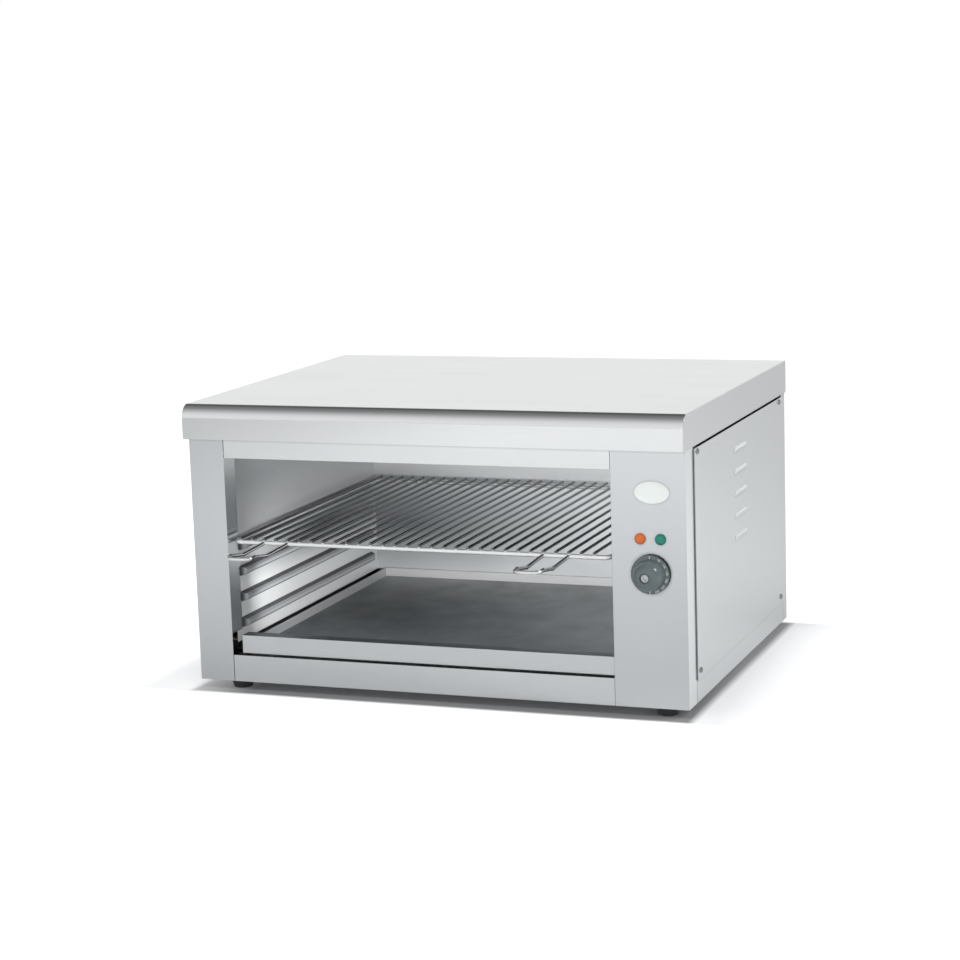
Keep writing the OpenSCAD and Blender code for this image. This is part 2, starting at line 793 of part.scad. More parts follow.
// Wires lead from the terminal block to the thermostat, the lamps and the elements
module internal_wiring() color("firebrick") placed() {
    wr = 1.5;
    entry = t + way_z;
    feed_y = block_y + 1;
    pin_x = pin_end + wr;
    cable([[way_xs[0], feed_y, entry], [way_xs[0], 60, entry], [knob_x - 12, 60, entry + 20],
           [knob_x - 12, 60, knob_z - 8], [knob_x - 12, body_back, knob_z - 8]], wr);
    cable([[knob_x - 12, body_back, knob_z + 8], [knob_x - 12, 60, knob_z + 8], [pin_x, 60, 230],
           [pin_x, leg_ys[0], element_z - 12], [pin_x, leg_ys[0], element_z]], wr);
    cable([[way_xs[1], feed_y, entry], [way_xs[1], 345, entry], [pin_x + 4, 345, 60],
           [pin_x + 4, 345, 240], [pin_x, leg_ys[5], element_z - 14],
           [pin_x, leg_ys[5], element_z]], wr);
    cable([[way_xs[2], feed_y, entry], [way_xs[2], stud_y + 8, entry],
              [stud_x, stud_y + 4.5, t + 8]], wr);
    for (s = [-1, 1]) {
        lamp_x = knob_x + s * lamp_gap / 2;
        end_x = knob_x + s * 6;
        cable([[lamp_x, 24, lamp_z], [lamp_x, 36, lamp_z], [end_x, 40, knob_z + 12],
               [end_x, body_back + touch_gap, knob_z + 9]], wr * 0.7);
    }
    for (i = [0, 2]) {
        near_y = leg_ys[i + 1];
        far_y = leg_ys[i + 2];
        cable([[pin_x, near_y, element_z], [pin_x + 8, near_y + 12, element_z - 6],
               [pin_x + 8, far_y - 12, element_z - 6], [pin_x, far_y, element_z]], wr);
    }
}

// ---- feet and fasteners ----

module feet() color("dimgray") placed() for (x = foot_xs, y = foot_ys) difference() {
    translate([x, y, -foot_h]) cylinder(h = foot_h, r1 = foot_bottom_d / 2, r2 = foot_top_d / 2);
    rod_z(x, y, -foot_h - 1, -foot_h + foot_recess, foot_recess_r);
    rod_z(x, y, -foot_h - 1, 1, foot_screw_r + 0.1);
}

module foot_screws() color("lightgray") placed() for (x = foot_xs, y = foot_ys) {
    rod_z(x, y, -foot_h + foot_recess - 2.5, -foot_h + foot_recess, foot_head_r);
    rod_z(x, y, -foot_h + foot_recess - eps, t + 7, foot_screw_r);
}

module foot_nuts() color("lightgray") placed() for (x = foot_xs, y = foot_ys) difference() {
    translate([x, y, t]) cylinder(h = 4, r = 4.6, $fn = 6);
    rod_z(x, y, t - 1, t + 5, foot_screw_r);
}

module side_screws() color("lightgray") placed()
    for (s = [-1, 1], y = side_screw_ys, z = side_screw_zs) translate([s * panel_face, y, z])
        rotate([0, s * 90, 0]) pan_screw();

module rear_screws() color("lightgray") placed()
    for (x = rear_screw_xs) translate([x, rear_sheet_y + t, rear_screw_z])
        rotate([-90, 0, 0]) pan_screw();

module cover_screws() color("lightgray") placed()
    for (x = cover_screw_xs) translate([x, body_d, cover_screw_z])
        rotate([-90, 0, 0]) pan_screw();

// ---- rack ----

module rack_frame() color("silver") placed() {
    x0 = rack_left + rod_r;
    x1 = rack_right - rod_r;
    y0 = rack_front + rod_r;
    y1 = rack_front + rack_d - rod_r;
    c = rack_corner_r;
    for (y = [y0, y1]) rod_x(x0 + c, x1 - c, y, rod_z, rod_r);
    for (x = [x0, x1]) rod_y(x, y0 + c, y1 - c, rod_z, rod_r);
    rod_bend([x0 + c, y0 + c, rod_z], c, rod_r, 180);
    rod_bend([x1 - c, y0 + c, rod_z], c, rod_r, 270);
    rod_bend([x1 - c, y1 - c, rod_z], c, rod_r, 0);
    rod_bend([x0 + c, y1 - c, rod_z], c, rod_r, 90);
}

module rack_wires() color("silver") placed()
    for (i = [0 : wire_count - 1]) rod_y(wire_first + i * wire_pitch, rack_front + 1,
        rack_front + rack_d + wire_over, wire_z, wire_r);

// One handle: a loop of wire whose legs sag in front of the rod and end level, a little higher.
// Its two ends are cut to the rod's round
module handle(x0, x1) {
    r = handle_wire_r;
    b = handle_bend_r;
    start_y = rack_front + rod_r;
    low_z = rod_z - handle_drop;
    level_z = rod_z + handle_lift;
    bar_y = r - handle_reach;
    for (x = [x0, x1]) difference() {
        bent_rod([[x, start_y, rod_z], [x, handle_kink_y, low_z],
                  [x, bar_y + b + handle_level, level_z], [x, bar_y + b, level_z]], r);
        rod_x(x - 2 * r, x + 2 * r, start_y, rod_z, rod_r);
    }
    rod_bend([x0 + b, bar_y + b, level_z], b, r, 180);
    rod_bend([x1 - b, bar_y + b, level_z], b, r, 270);
    rod_x(x0 + b, x1 - b, bar_y, level_z, r);
}

module rack_handles() color("silver") placed() for (legs = handle_legs)
    handle(wire_first + legs[0] * wire_pitch, wire_first + legs[1] * wire_pitch);

// ---- crumb tray ----

module crumb_tray() color("lightgray") placed() {
    inner_front = tray_front + tray_lip_d;
    wall_top = tray_bottom + tray_wall_h;
    lip_bottom = tray_lip_z - tray_lip_h;
    slab([tray_left, inner_front - tray_t, tray_bottom], [tray_right, tray_back, tray_bottom + tray_t]);
    for (x = [tray_left, tray_right - tray_t])
        slab([x, inner_front - tray_t, tray_bottom], [x + tray_t, tray_back, wall_top]);
    slab([tray_left, tray_back - tray_t, tray_bottom], [tray_right, tray_back, wall_top]);
    slab([tray_left, inner_front - tray_t, tray_bottom], [tray_right, inner_front, tray_lip_z]);
    slab([tray_left, tray_front, tray_lip_z - tray_t], [tray_right, inner_front, tray_lip_z]);
    slab([tray_left, tray_front, lip_bottom], [tray_right, tray_front + tray_t, tray_lip_z]);
    for (x = [tray_left, tray_right - tray_t])
        slab([x, tray_front, lip_bottom], [x + tray_t, inner_front, tray_lip_z]);
}

top_cover();
left_post();
control_panel();
top_rail();
bottom_rail();
base_pan();
left_side_panel();
right_side_panel();
rear_panel();
left_wall();
right_wall();
back_wall();
ceiling();
insulation_pad();
left_guides();
right_guides();
left_tray_runner();
right_tray_runner();
heating_elements();
element_hangers();
element_bushes();
element_pins();
terminal_beads();
thermostat_body();
thermostat_shaft();
thermostat_screws();
sensing_bulb();
capillary_tube();
bulb_clips();
knob();
knob_cap();
amber_lens();
green_lens();
lamp_bodies();
badge_plate();
terminal_block();
earth_stud();
cable_gland();
gland_nut();
internal_wiring();
feet();
foot_screws();
foot_nuts();
side_screws();
rear_screws();
cover_screws();
rack_frame();
rack_wires();
rack_handles();
crumb_tray();
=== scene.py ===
import math

import bmesh
import bpy
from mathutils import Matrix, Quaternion, Vector


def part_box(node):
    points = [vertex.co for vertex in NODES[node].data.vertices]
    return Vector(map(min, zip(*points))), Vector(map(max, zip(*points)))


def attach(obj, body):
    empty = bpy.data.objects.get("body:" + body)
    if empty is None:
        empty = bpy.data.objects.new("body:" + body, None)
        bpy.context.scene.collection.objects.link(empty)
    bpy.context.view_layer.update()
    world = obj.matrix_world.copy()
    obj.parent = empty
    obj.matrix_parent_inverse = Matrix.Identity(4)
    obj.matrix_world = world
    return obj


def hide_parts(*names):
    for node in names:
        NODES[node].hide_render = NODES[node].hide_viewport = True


bl_info = {
    "name": "Cheese melter looks",
    "version": (1, 0, 0),
    "blender": (4, 5, 0),
    "location": "3D View > Sidebar > Melter",
    "description": "Finishes and fine pieces of a counter-top cheese melter, with its stage",
    "category": "Add Mesh",
}

# Metres throughout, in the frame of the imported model: X across the front, Y to the rear, Z up.
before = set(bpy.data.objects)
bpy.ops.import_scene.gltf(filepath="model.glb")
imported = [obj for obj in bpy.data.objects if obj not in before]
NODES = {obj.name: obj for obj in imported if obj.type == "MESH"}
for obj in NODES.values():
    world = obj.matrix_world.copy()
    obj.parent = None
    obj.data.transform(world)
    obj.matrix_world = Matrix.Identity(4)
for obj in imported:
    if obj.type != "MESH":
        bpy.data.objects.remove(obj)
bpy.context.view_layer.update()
MM = 0.001
ACROSS, DEPTH, UP = 0, 1, 2        # the axes, as node sockets count them
SHARP_ANGLE = math.radians(40)     # edges that turn by more stay sharp


def size_of(node):
    """Width, depth and height of a node of the model."""
    low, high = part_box(node)
    return high - low


def middle_of(node):
    """Centre of a node's box."""
    low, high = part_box(node)
    return (low + high) / 2


# ---- settings ----


class SheetSettings(bpy.types.PropertyGroup):
    """Finish of the cabinet's sheet metal."""

    cover_colour: bpy.props.StringProperty(
        name="Cover", description="Colour of the top cover, sRGB hex", default="#E0E2E3")
    rail_colour: bpy.props.StringProperty(
        name="Rails", description="Colour of the rails and side panels, sRGB hex",
        default="#E2E5E6")
    upright_colour: bpy.props.StringProperty(
        name="Uprights", description="Colour of the uprights, sRGB hex", default="#D4D7D9")
    chamber_colour: bpy.props.StringProperty(
        name="Chamber", description="Colour of the chamber's lining, sRGB hex", default="#E6E8E9")
    guide_colour: bpy.props.StringProperty(
        name="Guides", description="Colour of the rack guides, sRGB hex", default="#AEB1B3")
    tray_colour: bpy.props.StringProperty(
        name="Tray", description="Colour of the crumb tray, sRGB hex", default="#C6C9CB")
    # Painted shade: the tray's floor is coloured dark for the dark chamber it mirrors, and darker
    # still in a soft oval
    tray_floor_colour: bpy.props.StringProperty(
        name="Tray floor", description="Colour of the tray's darkened floor, sRGB hex",
        default="#6C7073")
    burnt_colour: bpy.props.StringProperty(
        name="Darkest floor", description="Colour of its floor where it is darkest, sRGB hex",
        default="#42474A")
    edge_radius: bpy.props.FloatProperty(
        name="Edge radius", description="Round of a folded or deburred edge", default=0.6 * MM,
        min=0.0, max=2 * MM, unit="LENGTH")
    # Painted shade: ambient occlusion darkens the sheet's colour near seams and under parts, out to
    # this reach
    seam_reach: bpy.props.FloatProperty(
        name="Seam reach", description="How far grime spreads out of a seam", default=5 * MM,
        min=0.0, max=20 * MM, unit="LENGTH")
    grit_pitch: bpy.props.FloatProperty(
        name="Grit pitch", description="Width of one brushed streak", default=0.6 * MM,
        min=0.1 * MM, max=5 * MM, unit="LENGTH")
    grit_length: bpy.props.FloatProperty(
        name="Grit length", description="Length of one brushed streak", default=160 * MM,
        min=5 * MM, max=500 * MM, unit="LENGTH")


class RackSettings(bpy.types.PropertyGroup):
    """Wire rack and its welds."""

    wire_colour: bpy.props.StringProperty(
        name="Wire", description="Colour of the plated wire, sRGB hex", default="#F1F3F4")
    # Painted shade: the cross wires are coloured darker than the frame, for the dark chamber they
    # mirror
    stained_colour: bpy.props.StringProperty(
        name="Shade-darkened wire", description="Colour of the shade-darkened cross wires, sRGB hex",
        default="#75787A")
    wires: bpy.props.IntProperty(
        name="Cross wires", description="Number of cross wires on the frame", default=30,
        min=2, max=60)
    weld_radius: bpy.props.FloatProperty(
        name="Weld radius", description="Radius of the nugget at each crossing", default=2.0 * MM,
        min=0.5 * MM, max=4 * MM, unit="LENGTH")


class ControlSettings(bpy.types.PropertyGroup):
    """Thermostat knob, lamps and the bare oval plate."""

    knob_colour: bpy.props.StringProperty(
        name="Knob", description="Colour of the moulded knob, sRGB hex", default="#556062")
    mark_colour: bpy.props.StringProperty(
        name="Scale", description="Colour of the printed scale, sRGB hex", default="#C9CDCB")
    amber: bpy.props.StringProperty(
        name="Amber lens", description="Colour of the left lens, sRGB hex", default="#C66122")
    green: bpy.props.StringProperty(
        name="Green lens", description="Colour of the right lens, sRGB hex", default="#0F7768")
    badge: bpy.props.StringProperty(
        name="Plate", description="Colour of the bare oval plate, sRGB hex", default="#DCE1DE")
    first_mark: bpy.props.IntProperty(
        name="First number", description="Lowest number on the scale", default=50, min=10, max=100)
    last_mark: bpy.props.IntProperty(
        name="Last number", description="Highest number on the scale", default=300,
        min=100, max=400)
    mark_height: bpy.props.FloatProperty(
        name="Number height", description="Height of the printed numbers", default=2.3 * MM,
        min=1 * MM, max=5 * MM, unit="LENGTH")


class StageSettings(bpy.types.PropertyGroup):
    """Floor, light and camera."""

    azimuth: bpy.props.FloatProperty(
        name="Azimuth", description="How far the camera stands to the right of the front",
        default=math.radians(20.84), subtype="ANGLE")
    elevation: bpy.props.FloatProperty(
        name="Elevation", description="How far the camera looks down", default=math.radians(9.88),
        subtype="ANGLE")
    roll: bpy.props.FloatProperty(
        name="Roll", description="Turn of the camera about its own axis",
        default=math.radians(-1.9), subtype="ANGLE")
    place: bpy.props.FloatVectorProperty(
        name="Camera place", description="Where the camera stands",
        default=(1.0065, -2.6722, 0.7232), size=3, unit="LENGTH")
    lens: bpy.props.FloatProperty(
        name="Lens", description="Focal length in millimetres for a 36 mm sensor", default=90.37,
        min=10, max=300)
    world_level: bpy.props.FloatProperty(
        name="Room", description="Radiance of the studio's horizon in reflections", default=0.95,
        min=0, max=2)
    soft_level: bpy.props.FloatProperty(
        name="Ambient", description="Share of the room's radiance that lights matt surfaces",
        default=0.6, min=0, max=2)
    key_power: bpy.props.FloatProperty(
        name="Key", description="Power of the overhead softbox", default=26.0, min=0, max=500,
        unit="POWER")
    fill_power: bpy.props.FloatProperty(
        name="Fill", description="Power of the wide softbox in front", default=120.0,
        min=0, max=500, unit="POWER")
    side_power: bpy.props.FloatProperty(
        name="Side", description="Power of the softbox on the right", default=12.5, min=0, max=500,
        unit="POWER")
    spark_power: bpy.props.FloatProperty(
        name="Spark", description="Power of the small softbox that shows in curved parts",
        default=7.5, min=0, max=500, unit="POWER")
    card_level: bpy.props.FloatProperty(
        name="Cards", description="Level of the small lamps that lift the chamber's walls",
        default=1.0, min=0, max=5)


SETTINGS = {"melter_sheet": SheetSettings, "melter_rack": RackSettings,
            "melter_controls": ControlSettings, "melter_stage": StageSettings}


# ---- node and mesh helpers ----


def linear(colour, shade=1.0):
    """Scene-linear RGBA of an sRGB hex colour, times a shade."""
    srgb = [int(colour[i:i + 2], 16) / 255 for i in (1, 3, 5)]
    return [shade * (c / 12.92 if c <= 0.04045 else ((c + 0.055) / 1.055) ** 2.4)
            for c in srgb] + [1.0]


def add(tree, kind, inputs=None, **settings):
    """A new node of a kind. Each input is a value or another node's output socket."""
    made = tree.nodes.new(kind)
    for key, value in settings.items():
        setattr(made, key, value)
    for key, value in (inputs or {}).items():
        if isinstance(value, bpy.types.NodeSocket):
            tree.links.new(value, made.inputs[key])
        else:
            made.inputs[key].default_value = value
    return made


def new_material(name):
    """A material with its tree, its shader and the place of each point on the piece, in metres."""
    made = bpy.data.materials.new(name)
    made.use_nodes = True
    tree = made.node_tree
    place = add(tree, "ShaderNodeTexCoord").outputs["Object"]
    return made, tree, tree.nodes["Principled BSDF"], place


def unevenness(tree, place, pitch, detail=3.0):
    """An uneven pattern from 0 to 1, with one pitch or a pitch for each axis, in metres."""
    pitches = pitch if isinstance(pitch, list) else [pitch] * 3
    stretched = add(tree, "ShaderNodeMapping",
                    {"Vector": place, "Scale": [1 / length for length in pitches]})
    return add(tree, "ShaderNodeTexNoise",
               {"Vector": stretched.outputs[0], "Scale": 1.0, "Detail": detail,
                "Roughness": 0.55}).outputs[0]


def vary(tree, shader, pattern, colour, low, smooth, rough):
    """Lets a pattern shade the colour, down to the share `low` of it, and change the roughness.

    Most of a pattern lies between 0.3 and 0.7. Returns the shaded colour."""
    shine = add(tree, "ShaderNodeMapRange", {0: pattern, 1: 0.3, 2: 0.7, 3: smooth, 4: rough})
    tree.links.new(shine.outputs[0], shader.inputs["Roughness"])
    shaded = add(tree, "ShaderNodeMix", {0: pattern, 6: linear(colour, low), 7: linear(colour)},
                 data_type="RGBA")
    tree.links.new(shaded.outputs[2], shader.inputs["Base Color"])
    return shaded.outputs[2]


def dress(node, material):
    """Gives a carried-over node of the model its finish."""
    piece = NODES[node]
    if not piece.material_slots:
        piece.data.materials.append(None)
    for held in piece.material_slots:
        held.link = "OBJECT"
        held.material = material


def new_piece(name, shape, material, body, slot, *replaced):
    """Makes an object of a bmesh and hangs it on its body."""
    mesh = bpy.data.meshes.new(name)
    shape.normal_update()
    shape.to_mesh(mesh)
    shape.free()
    mesh.shade_smooth()
    mesh.set_sharp_from_angle(angle=SHARP_ANGLE)
    mesh.materials.append(material)
    piece = bpy.data.objects.new(name, mesh)
    bpy.context.scene.collection.objects.link(piece)
    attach(piece, body)
    if replaced:
        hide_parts(*replaced)
    return piece


def turned(shape, centre, profile, steps, wave=None):
    """Turns a profile of (radius, reach towards -Y) about an axis along -Y.

    wave(radius, reach, angle) gives each point's radius where the piece isn't quite round."""
    rings = []
    for radius, reach in profile:
        ring = []
        for i in range(steps if radius > 0 else 1):
            angle = 2 * math.pi * i / steps
            r = wave(radius, reach, angle) if wave else radius
            ring.append(shape.verts.new(
                centre + Vector((r * math.sin(angle), -reach, r * math.cos(angle)))))
        rings.append(ring)
    for near, far in zip(rings, rings[1:]):
        for i in range(steps):
            a, b = near[i % len(near)], near[(i + 1) % len(near)]
            c, d = far[(i + 1) % len(far)], far[i % len(far)]
            shape.faces.new(list(dict.fromkeys((a, b, c, d))))
    bmesh.ops.recalc_face_normals(shape, faces=shape.faces)


# ---- materials ----

# How squarely a face must look along an axis before it takes its own colour, and takes it fully
SQUARE = (0.6, 0.9)
NEARLY_SQUARE = (0.5, 0.9)
FAIRLY_SQUARE = (0.4, 0.75)
SLANTED = (0.3, 0.7)


def brushed_stainless(name, colour, along, roughness=0.22):
    """Stainless sheet, grit-brushed along one axis: a broad sheen with faint streaks and marks of
    hands. The real grit lines are 0.1 mm apart; they are drawn coarser so that they show."""
    made, tree, shader, place = new_material(name)
    sheet = bpy.context.scene.melter_sheet
    line = [sheet.grit_pitch] * 3
    line[along] = sheet.grit_length
    band = [30 * MM] * 3
    band[along] = 900 * MM
    streaks = unevenness(tree, place, line, 2.0)
    bands = unevenness(tree, place, band, 2.0)
    hands = unevenness(tree, place, 90 * MM, 4.0)
    mottle = add(tree, "ShaderNodeMath", {0: bands, 1: hands}, operation="ADD").outputs[0]
    mottle = add(tree, "ShaderNodeMath", {0: mottle, 1: streaks}, operation="ADD").outputs[0]
    mottle = add(tree, "ShaderNodeMath", {0: mottle, 1: 3.0}, operation="DIVIDE").outputs[0]
    steel = vary(tree, shader, mottle, colour, 0.975, roughness - 0.03, roughness + 0.03)
    # Painted shade: ambient occlusion darkens the colour in seams, creases and under parts
    painted_seam_shade = add(tree, "ShaderNodeAmbientOcclusion", {"Color": steel, "Distance": sheet.seam_reach},
                samples=6)
    tree.links.new(painted_seam_shade.outputs[0], shader.inputs["Base Color"])
    shader.inputs["Metallic"].default_value = 1.0
    edge = add(tree, "ShaderNodeBevel", {"Radius": sheet.edge_radius})
    bump = add(tree, "ShaderNodeBump", {"Height": streaks, "Strength": 0.2,
                                        "Distance": 0.004 * MM, "Normal": edge.outputs[0]})
    tree.links.new(bump.outputs[0], shader.inputs["Normal"])
    return made


def bright_stainless(name, colour, fold):
    """Stainless sheet as rolled and annealed: a satin mirror, cloudy where hands and heat have
    been. Its folds are rounded to the radius given."""
    made, tree, shader, place = new_material(name)
    clouds = unevenness(tree, place, 45 * MM, 5.0)
    ripple = unevenness(tree, place, 90 * MM, 1.0)
    steel = vary(tree, shader, clouds, colour, 0.95, 0.28, 0.38)
    # Painted shade: ambient occlusion darkens the colour in folds, creases and under the lip
    painted_seam_shade = add(tree, "ShaderNodeAmbientOcclusion", {"Color": steel, "Distance": 3 * MM}, samples=6)
    tree.links.new(painted_seam_shade.outputs[0], shader.inputs["Base Color"])
    shader.inputs["Metallic"].default_value = 0.6
    edge = add(tree, "ShaderNodeBevel", {"Radius": fold})
    bump = add(tree, "ShaderNodeBump", {"Height": ripple, "Strength": 0.6, "Distance": 0.5 * MM,
                                        "Normal": edge.outputs[0]})
    tree.links.new(bump.outputs[0], shader.inputs["Normal"])
    return made


def aluminised(name, colour, tinted, start=170 * MM, end=240 * MM):
    """Hot-dip aluminised sheet: its oxide skin scatters as much light as the metal below mirrors,
    with soft clouds of spangle. Between two heights it changes to a second colour: painted light
    and shade by height, and on the roof heat darkening as well."""
    made, tree, shader, place = new_material(name)
    height = add(tree, "ShaderNodeSeparateXYZ", {0: place}).outputs[UP]
    clouds = unevenness(tree, place, 55 * MM, 5.0)
    ripple = unevenness(tree, place, 90 * MM, 1.0)
    # Share of the second colour, by height: painted light and shade
    heat = add(tree, "ShaderNodeMapRange", {0: height, 1: start, 2: end, 3: 0.0, 4: 1.0})
    spangled = vary(tree, shader, clouds, colour, 0.93, 0.3, 0.42)
    mixed = add(tree, "ShaderNodeMix", {0: heat.outputs[0], 6: spangled, 7: linear(tinted)},
                data_type="RGBA")
    tree.links.new(mixed.outputs[2], shader.inputs["Base Color"])
    shader.inputs["Metallic"].default_value = 0.35
    bump = add(tree, "ShaderNodeBump", {"Height": ripple, "Strength": 0.6, "Distance": 0.5 * MM})
    tree.links.new(bump.outputs[0], shader.inputs["Normal"])
    return made


def chromed_wire(name, colour, metallic=1.0):
    """Chromium-plated steel wire: a hard mirror with slightly drawn, uneven skin."""
    made, tree, shader, place = new_material(name)
    skin = unevenness(tree, place, 6 * MM)
    vary(tree, shader, skin, colour, 0.86, 0.08, 0.2)
    shader.inputs["Metallic"].default_value = metallic
    bump = add(tree, "ShaderNodeBump", {"Height": skin, "Strength": 0.3, "Distance": 0.15 * MM})
    tree.links.new(bump.outputs[0], shader.inputs["Normal"])
    return made


def plain_metal(name, colour, roughness, grain_mm, low=0.85):
    """Turned, drawn or plated metal in one small part: an even shine with a fine grain."""
    made, tree, shader, place = new_material(name)
    grain = unevenness(tree, place, grain_mm * MM)
    vary(tree, shader, grain, colour, low, roughness * 0.8, roughness * 1.2)
    shader.inputs["Metallic"].default_value = 1.0
    return made


def moulded(name, colour, roughness, grain_mm=0.6, ior=1.5, depth_mm=0.02, low=0.85):
    """A moulded, cast or pressed non-metal: even colour with the fine texture of its mould."""
    made, tree, shader, place = new_material(name)
    grain = unevenness(tree, place, grain_mm * MM, 2.0)
    clouds = unevenness(tree, place, 12 * MM, 2.0)
    vary(tree, shader, clouds, colour, low, roughness * 0.85, roughness * 1.15)
    shader.inputs["IOR"].default_value = ior
    bump = add(tree, "ShaderNodeBump",
               {"Height": grain, "Strength": 0.4, "Distance": depth_mm * MM})
    tree.links.new(bump.outputs[0], shader.inputs["Normal"])
    return made


def acrylic_lens(name, colour):
    """Moulded acrylic lens: clear colour with depth, brighter where the light gathers."""
    made, tree, shader, place = new_material(name)
    depth = unevenness(tree, place, 4 * MM, 2.0)
    tinted = add(tree, "ShaderNodeMix", {0: depth, 6: linear(colour, 0.8), 7: linear(colour, 1.1)},
                 data_type="RGBA")
    tree.links.new(tinted.outputs[2], shader.inputs["Base Color"])
    shader.inputs["Roughness"].default_value = 0.18
    shader.inputs["IOR"].default_value = 1.49
    shader.inputs["Coat Weight"].default_value = 0.4
    return made


def facing(material, axis, square, colour, spot=None, core=0.4):
    """Gives the faces that look along one axis a colour of their own: a cut edge, or painted light
    and shade on the faces that look one way. A spot, given as its centre and half sizes, keeps the
    colour to a soft oval; it is full out to the share `core` of those half sizes."""
    tree = material.node_tree
    shader = tree.nodes["Principled BSDF"]
    coords = add(tree, "ShaderNodeTexCoord")
    along = add(tree, "ShaderNodeSeparateXYZ", {0: coords.outputs["Normal"]}).outputs[axis]
    size = add(tree, "ShaderNodeMath", {0: along}, operation="ABSOLUTE").outputs[0]
    start, full = square
    share = add(tree, "ShaderNodeMapRange", {0: size, 1: start, 2: full, 3: 0.0, 4: 1.0}).outputs[0]
    if spot:
        centre, half = spot
        away = add(tree, "ShaderNodeVectorMath", {0: coords.outputs["Object"], 1: centre},
                   operation="SUBTRACT")
        away = add(tree, "ShaderNodeVectorMath", {0: away.outputs[0], 1: half}, operation="DIVIDE")
        away = add(tree, "ShaderNodeVectorMath", {0: away.outputs[0]}, operation="LENGTH")
        inside = add(tree, "ShaderNodeMapRange", {0: away.outputs["Value"], 1: core, 2: 1.0, 3: 1.0,
                                                  4: 0.0})
        share = add(tree, "ShaderNodeMath", {0: share, 1: inside.outputs[0]},
                    operation="MULTIPLY").outputs[0]
    before = shader.inputs["Base Color"].links[0].from_socket
    mixed = add(tree, "ShaderNodeMix", {0: share, 6: before, 7: linear(colour)}, data_type="RGBA")
    tree.links.new(mixed.outputs[2], shader.inputs["Base Color"])


# ---- operators ----


class MELTER_OT_cabinet(bpy.types.Operator):
    """Finish the cover, uprights, rails, side panels, base and rear panel"""

    bl_idname = "melter.cabinet"
    bl_label = "Cabinet"

    def execute(self, context):
        sheet = context.scene.melter_sheet
        # The sheets are one stainless; the uprights and the sill take darker shades of it than the
        # rails, as painted shade
        cover = brushed_stainless("stainless_brushed_cover", sheet.cover_colour, ACROSS, 0.17)
        upright = brushed_stainless("stainless_brushed_upright", sheet.upright_colour, UP)
        rail = brushed_stainless("stainless_brushed_rail", sheet.rail_colour, ACROSS)
        sill = brushed_stainless("stainless_brushed_sill", "#DADDDF", ACROSS)
        side = brushed_stainless("stainless_brushed_side", sheet.rail_colour, DEPTH)
        finishes = {
            "top_cover": cover, "left_post": upright, "control_panel": upright, "top_rail": rail,
            "bottom_rail": sill, "rear_panel": rail, "left_side_panel": side,
            "right_side_panel": side, "base_pan": side,
        }
        for node, finish in finishes.items():
            dress(node, finish)
        facing(side, DEPTH, FAIRLY_SQUARE, "#989B9D")   # the hoods' ends and the folded edges: duller cut edges, with painted shade of the gaps and hood mouths
        facing(upright, ACROSS, SQUARE, "#F0F2F3")      # the jambs and returns, lighter: painted light
        return {"FINISHED"}


class MELTER_OT_chamber(bpy.types.Operator):
    """Finish the chamber's lining, guides, runners, elements and sensing bulb"""

    bl_idname = "melter.chamber"
    bl_label = "Chamber"

    # Soft dark patches behind and beside the rack, as centre and half sizes: painted reflection and
    # shade of the rack on the linings
    rear_stain = ((-0.22, 0.254, 0.12), (0.27, 0.05, 0.075))
    left_stain = ((-0.2585, 0.09, 0.15), (0.05, 0.32, 0.045))
    stain_core = 0.05

    def execute(self, context):
        sheet = context.scene.melter_sheet
        # Painted shade: the side walls darken above the rack, partly heat tint of the elements
        walls = aluminised("steel_aluminised_wall", sheet.chamber_colour, "#B2B5B7")
        # Painted light: the rear wall turns lighter above the rack
        rear = aluminised("steel_aluminised_rear", "#D4D7D9", sheet.chamber_colour)
        # Painted reflection and shade of the rack, as soft dark patches on the rear and left
        # linings
        facing(rear, DEPTH, NEARLY_SQUARE, "#66696C", self.rear_stain, self.stain_core)
        facing(walls, ACROSS, NEARLY_SQUARE, "#55585B", self.left_stain, self.stain_core)
        # The roof is heat-darkened, and coloured darker still as painted shade of the unlit ceiling
        roof = aluminised("steel_aluminised_roof", "#4A4C4E", "#3A3B3D", 200 * MM, 300 * MM)
        # Painted shade: the tray runners are dark all over, as they lie in shade
        runner = aluminised("steel_aluminised_runner", "#3F4143", "#3F4143", 0.0, 100 * MM)
        rails = aluminised("steel_aluminised_guide", sheet.guide_colour, "#9A9DA0")
        facing(rails, UP, SLANTED, "#36393B")            # tops and undersides darkened: painted shade
        facing(rails, DEPTH, NEARLY_SQUARE, "#3F4345")   # ends darkened: painted shade
        finishes = {
            "left_wall": walls, "right_wall": walls, "back_wall": rear, "ceiling": roof,
            "left_guides": rails, "right_guides": rails, "left_tray_runner": runner,
            "right_tray_runner": runner,
        }
        for node, finish in finishes.items():
            dress(node, finish)
        dress("heating_elements",
              plain_metal("nickel_alloy_sheath", "#5A5650", 0.45, grain_mm=9, low=0.6))
        strip = plain_metal("steel_strip_bent", "#A9ABAC", 0.3, grain_mm=4)
        for node in ("element_hangers", "bulb_clips"):
            dress(node, strip)
        copper = plain_metal("copper_drawn", "#C58A66", 0.28, grain_mm=6, low=0.75)
        for node in ("sensing_bulb", "capillary_tube"):
            dress(node, copper)
        dress("element_bushes", plain_metal("brass_turned", "#CDAF72", 0.25, grain_mm=2))
        dress("insulation_pad", moulded("mineral_wool_pressed", "#D9D2BF", 0.95, grain_mm=1.5,
                                        ior=1.4, depth_mm=0.8, low=0.7))
        steatite = moulded("steatite_pressed", "#E6E2D6", 0.6, grain_mm=0.8, ior=1.55,
                           depth_mm=0.03, low=0.9)
        for node in ("terminal_beads", "terminal_block", "thermostat_body"):
            dress(node, steatite)
        dress("internal_wiring",
              moulded("silicone_sleeve_extruded", "#9C2B1C", 0.55, grain_mm=1.0, ior=1.41))
        return {"FINISHED"}


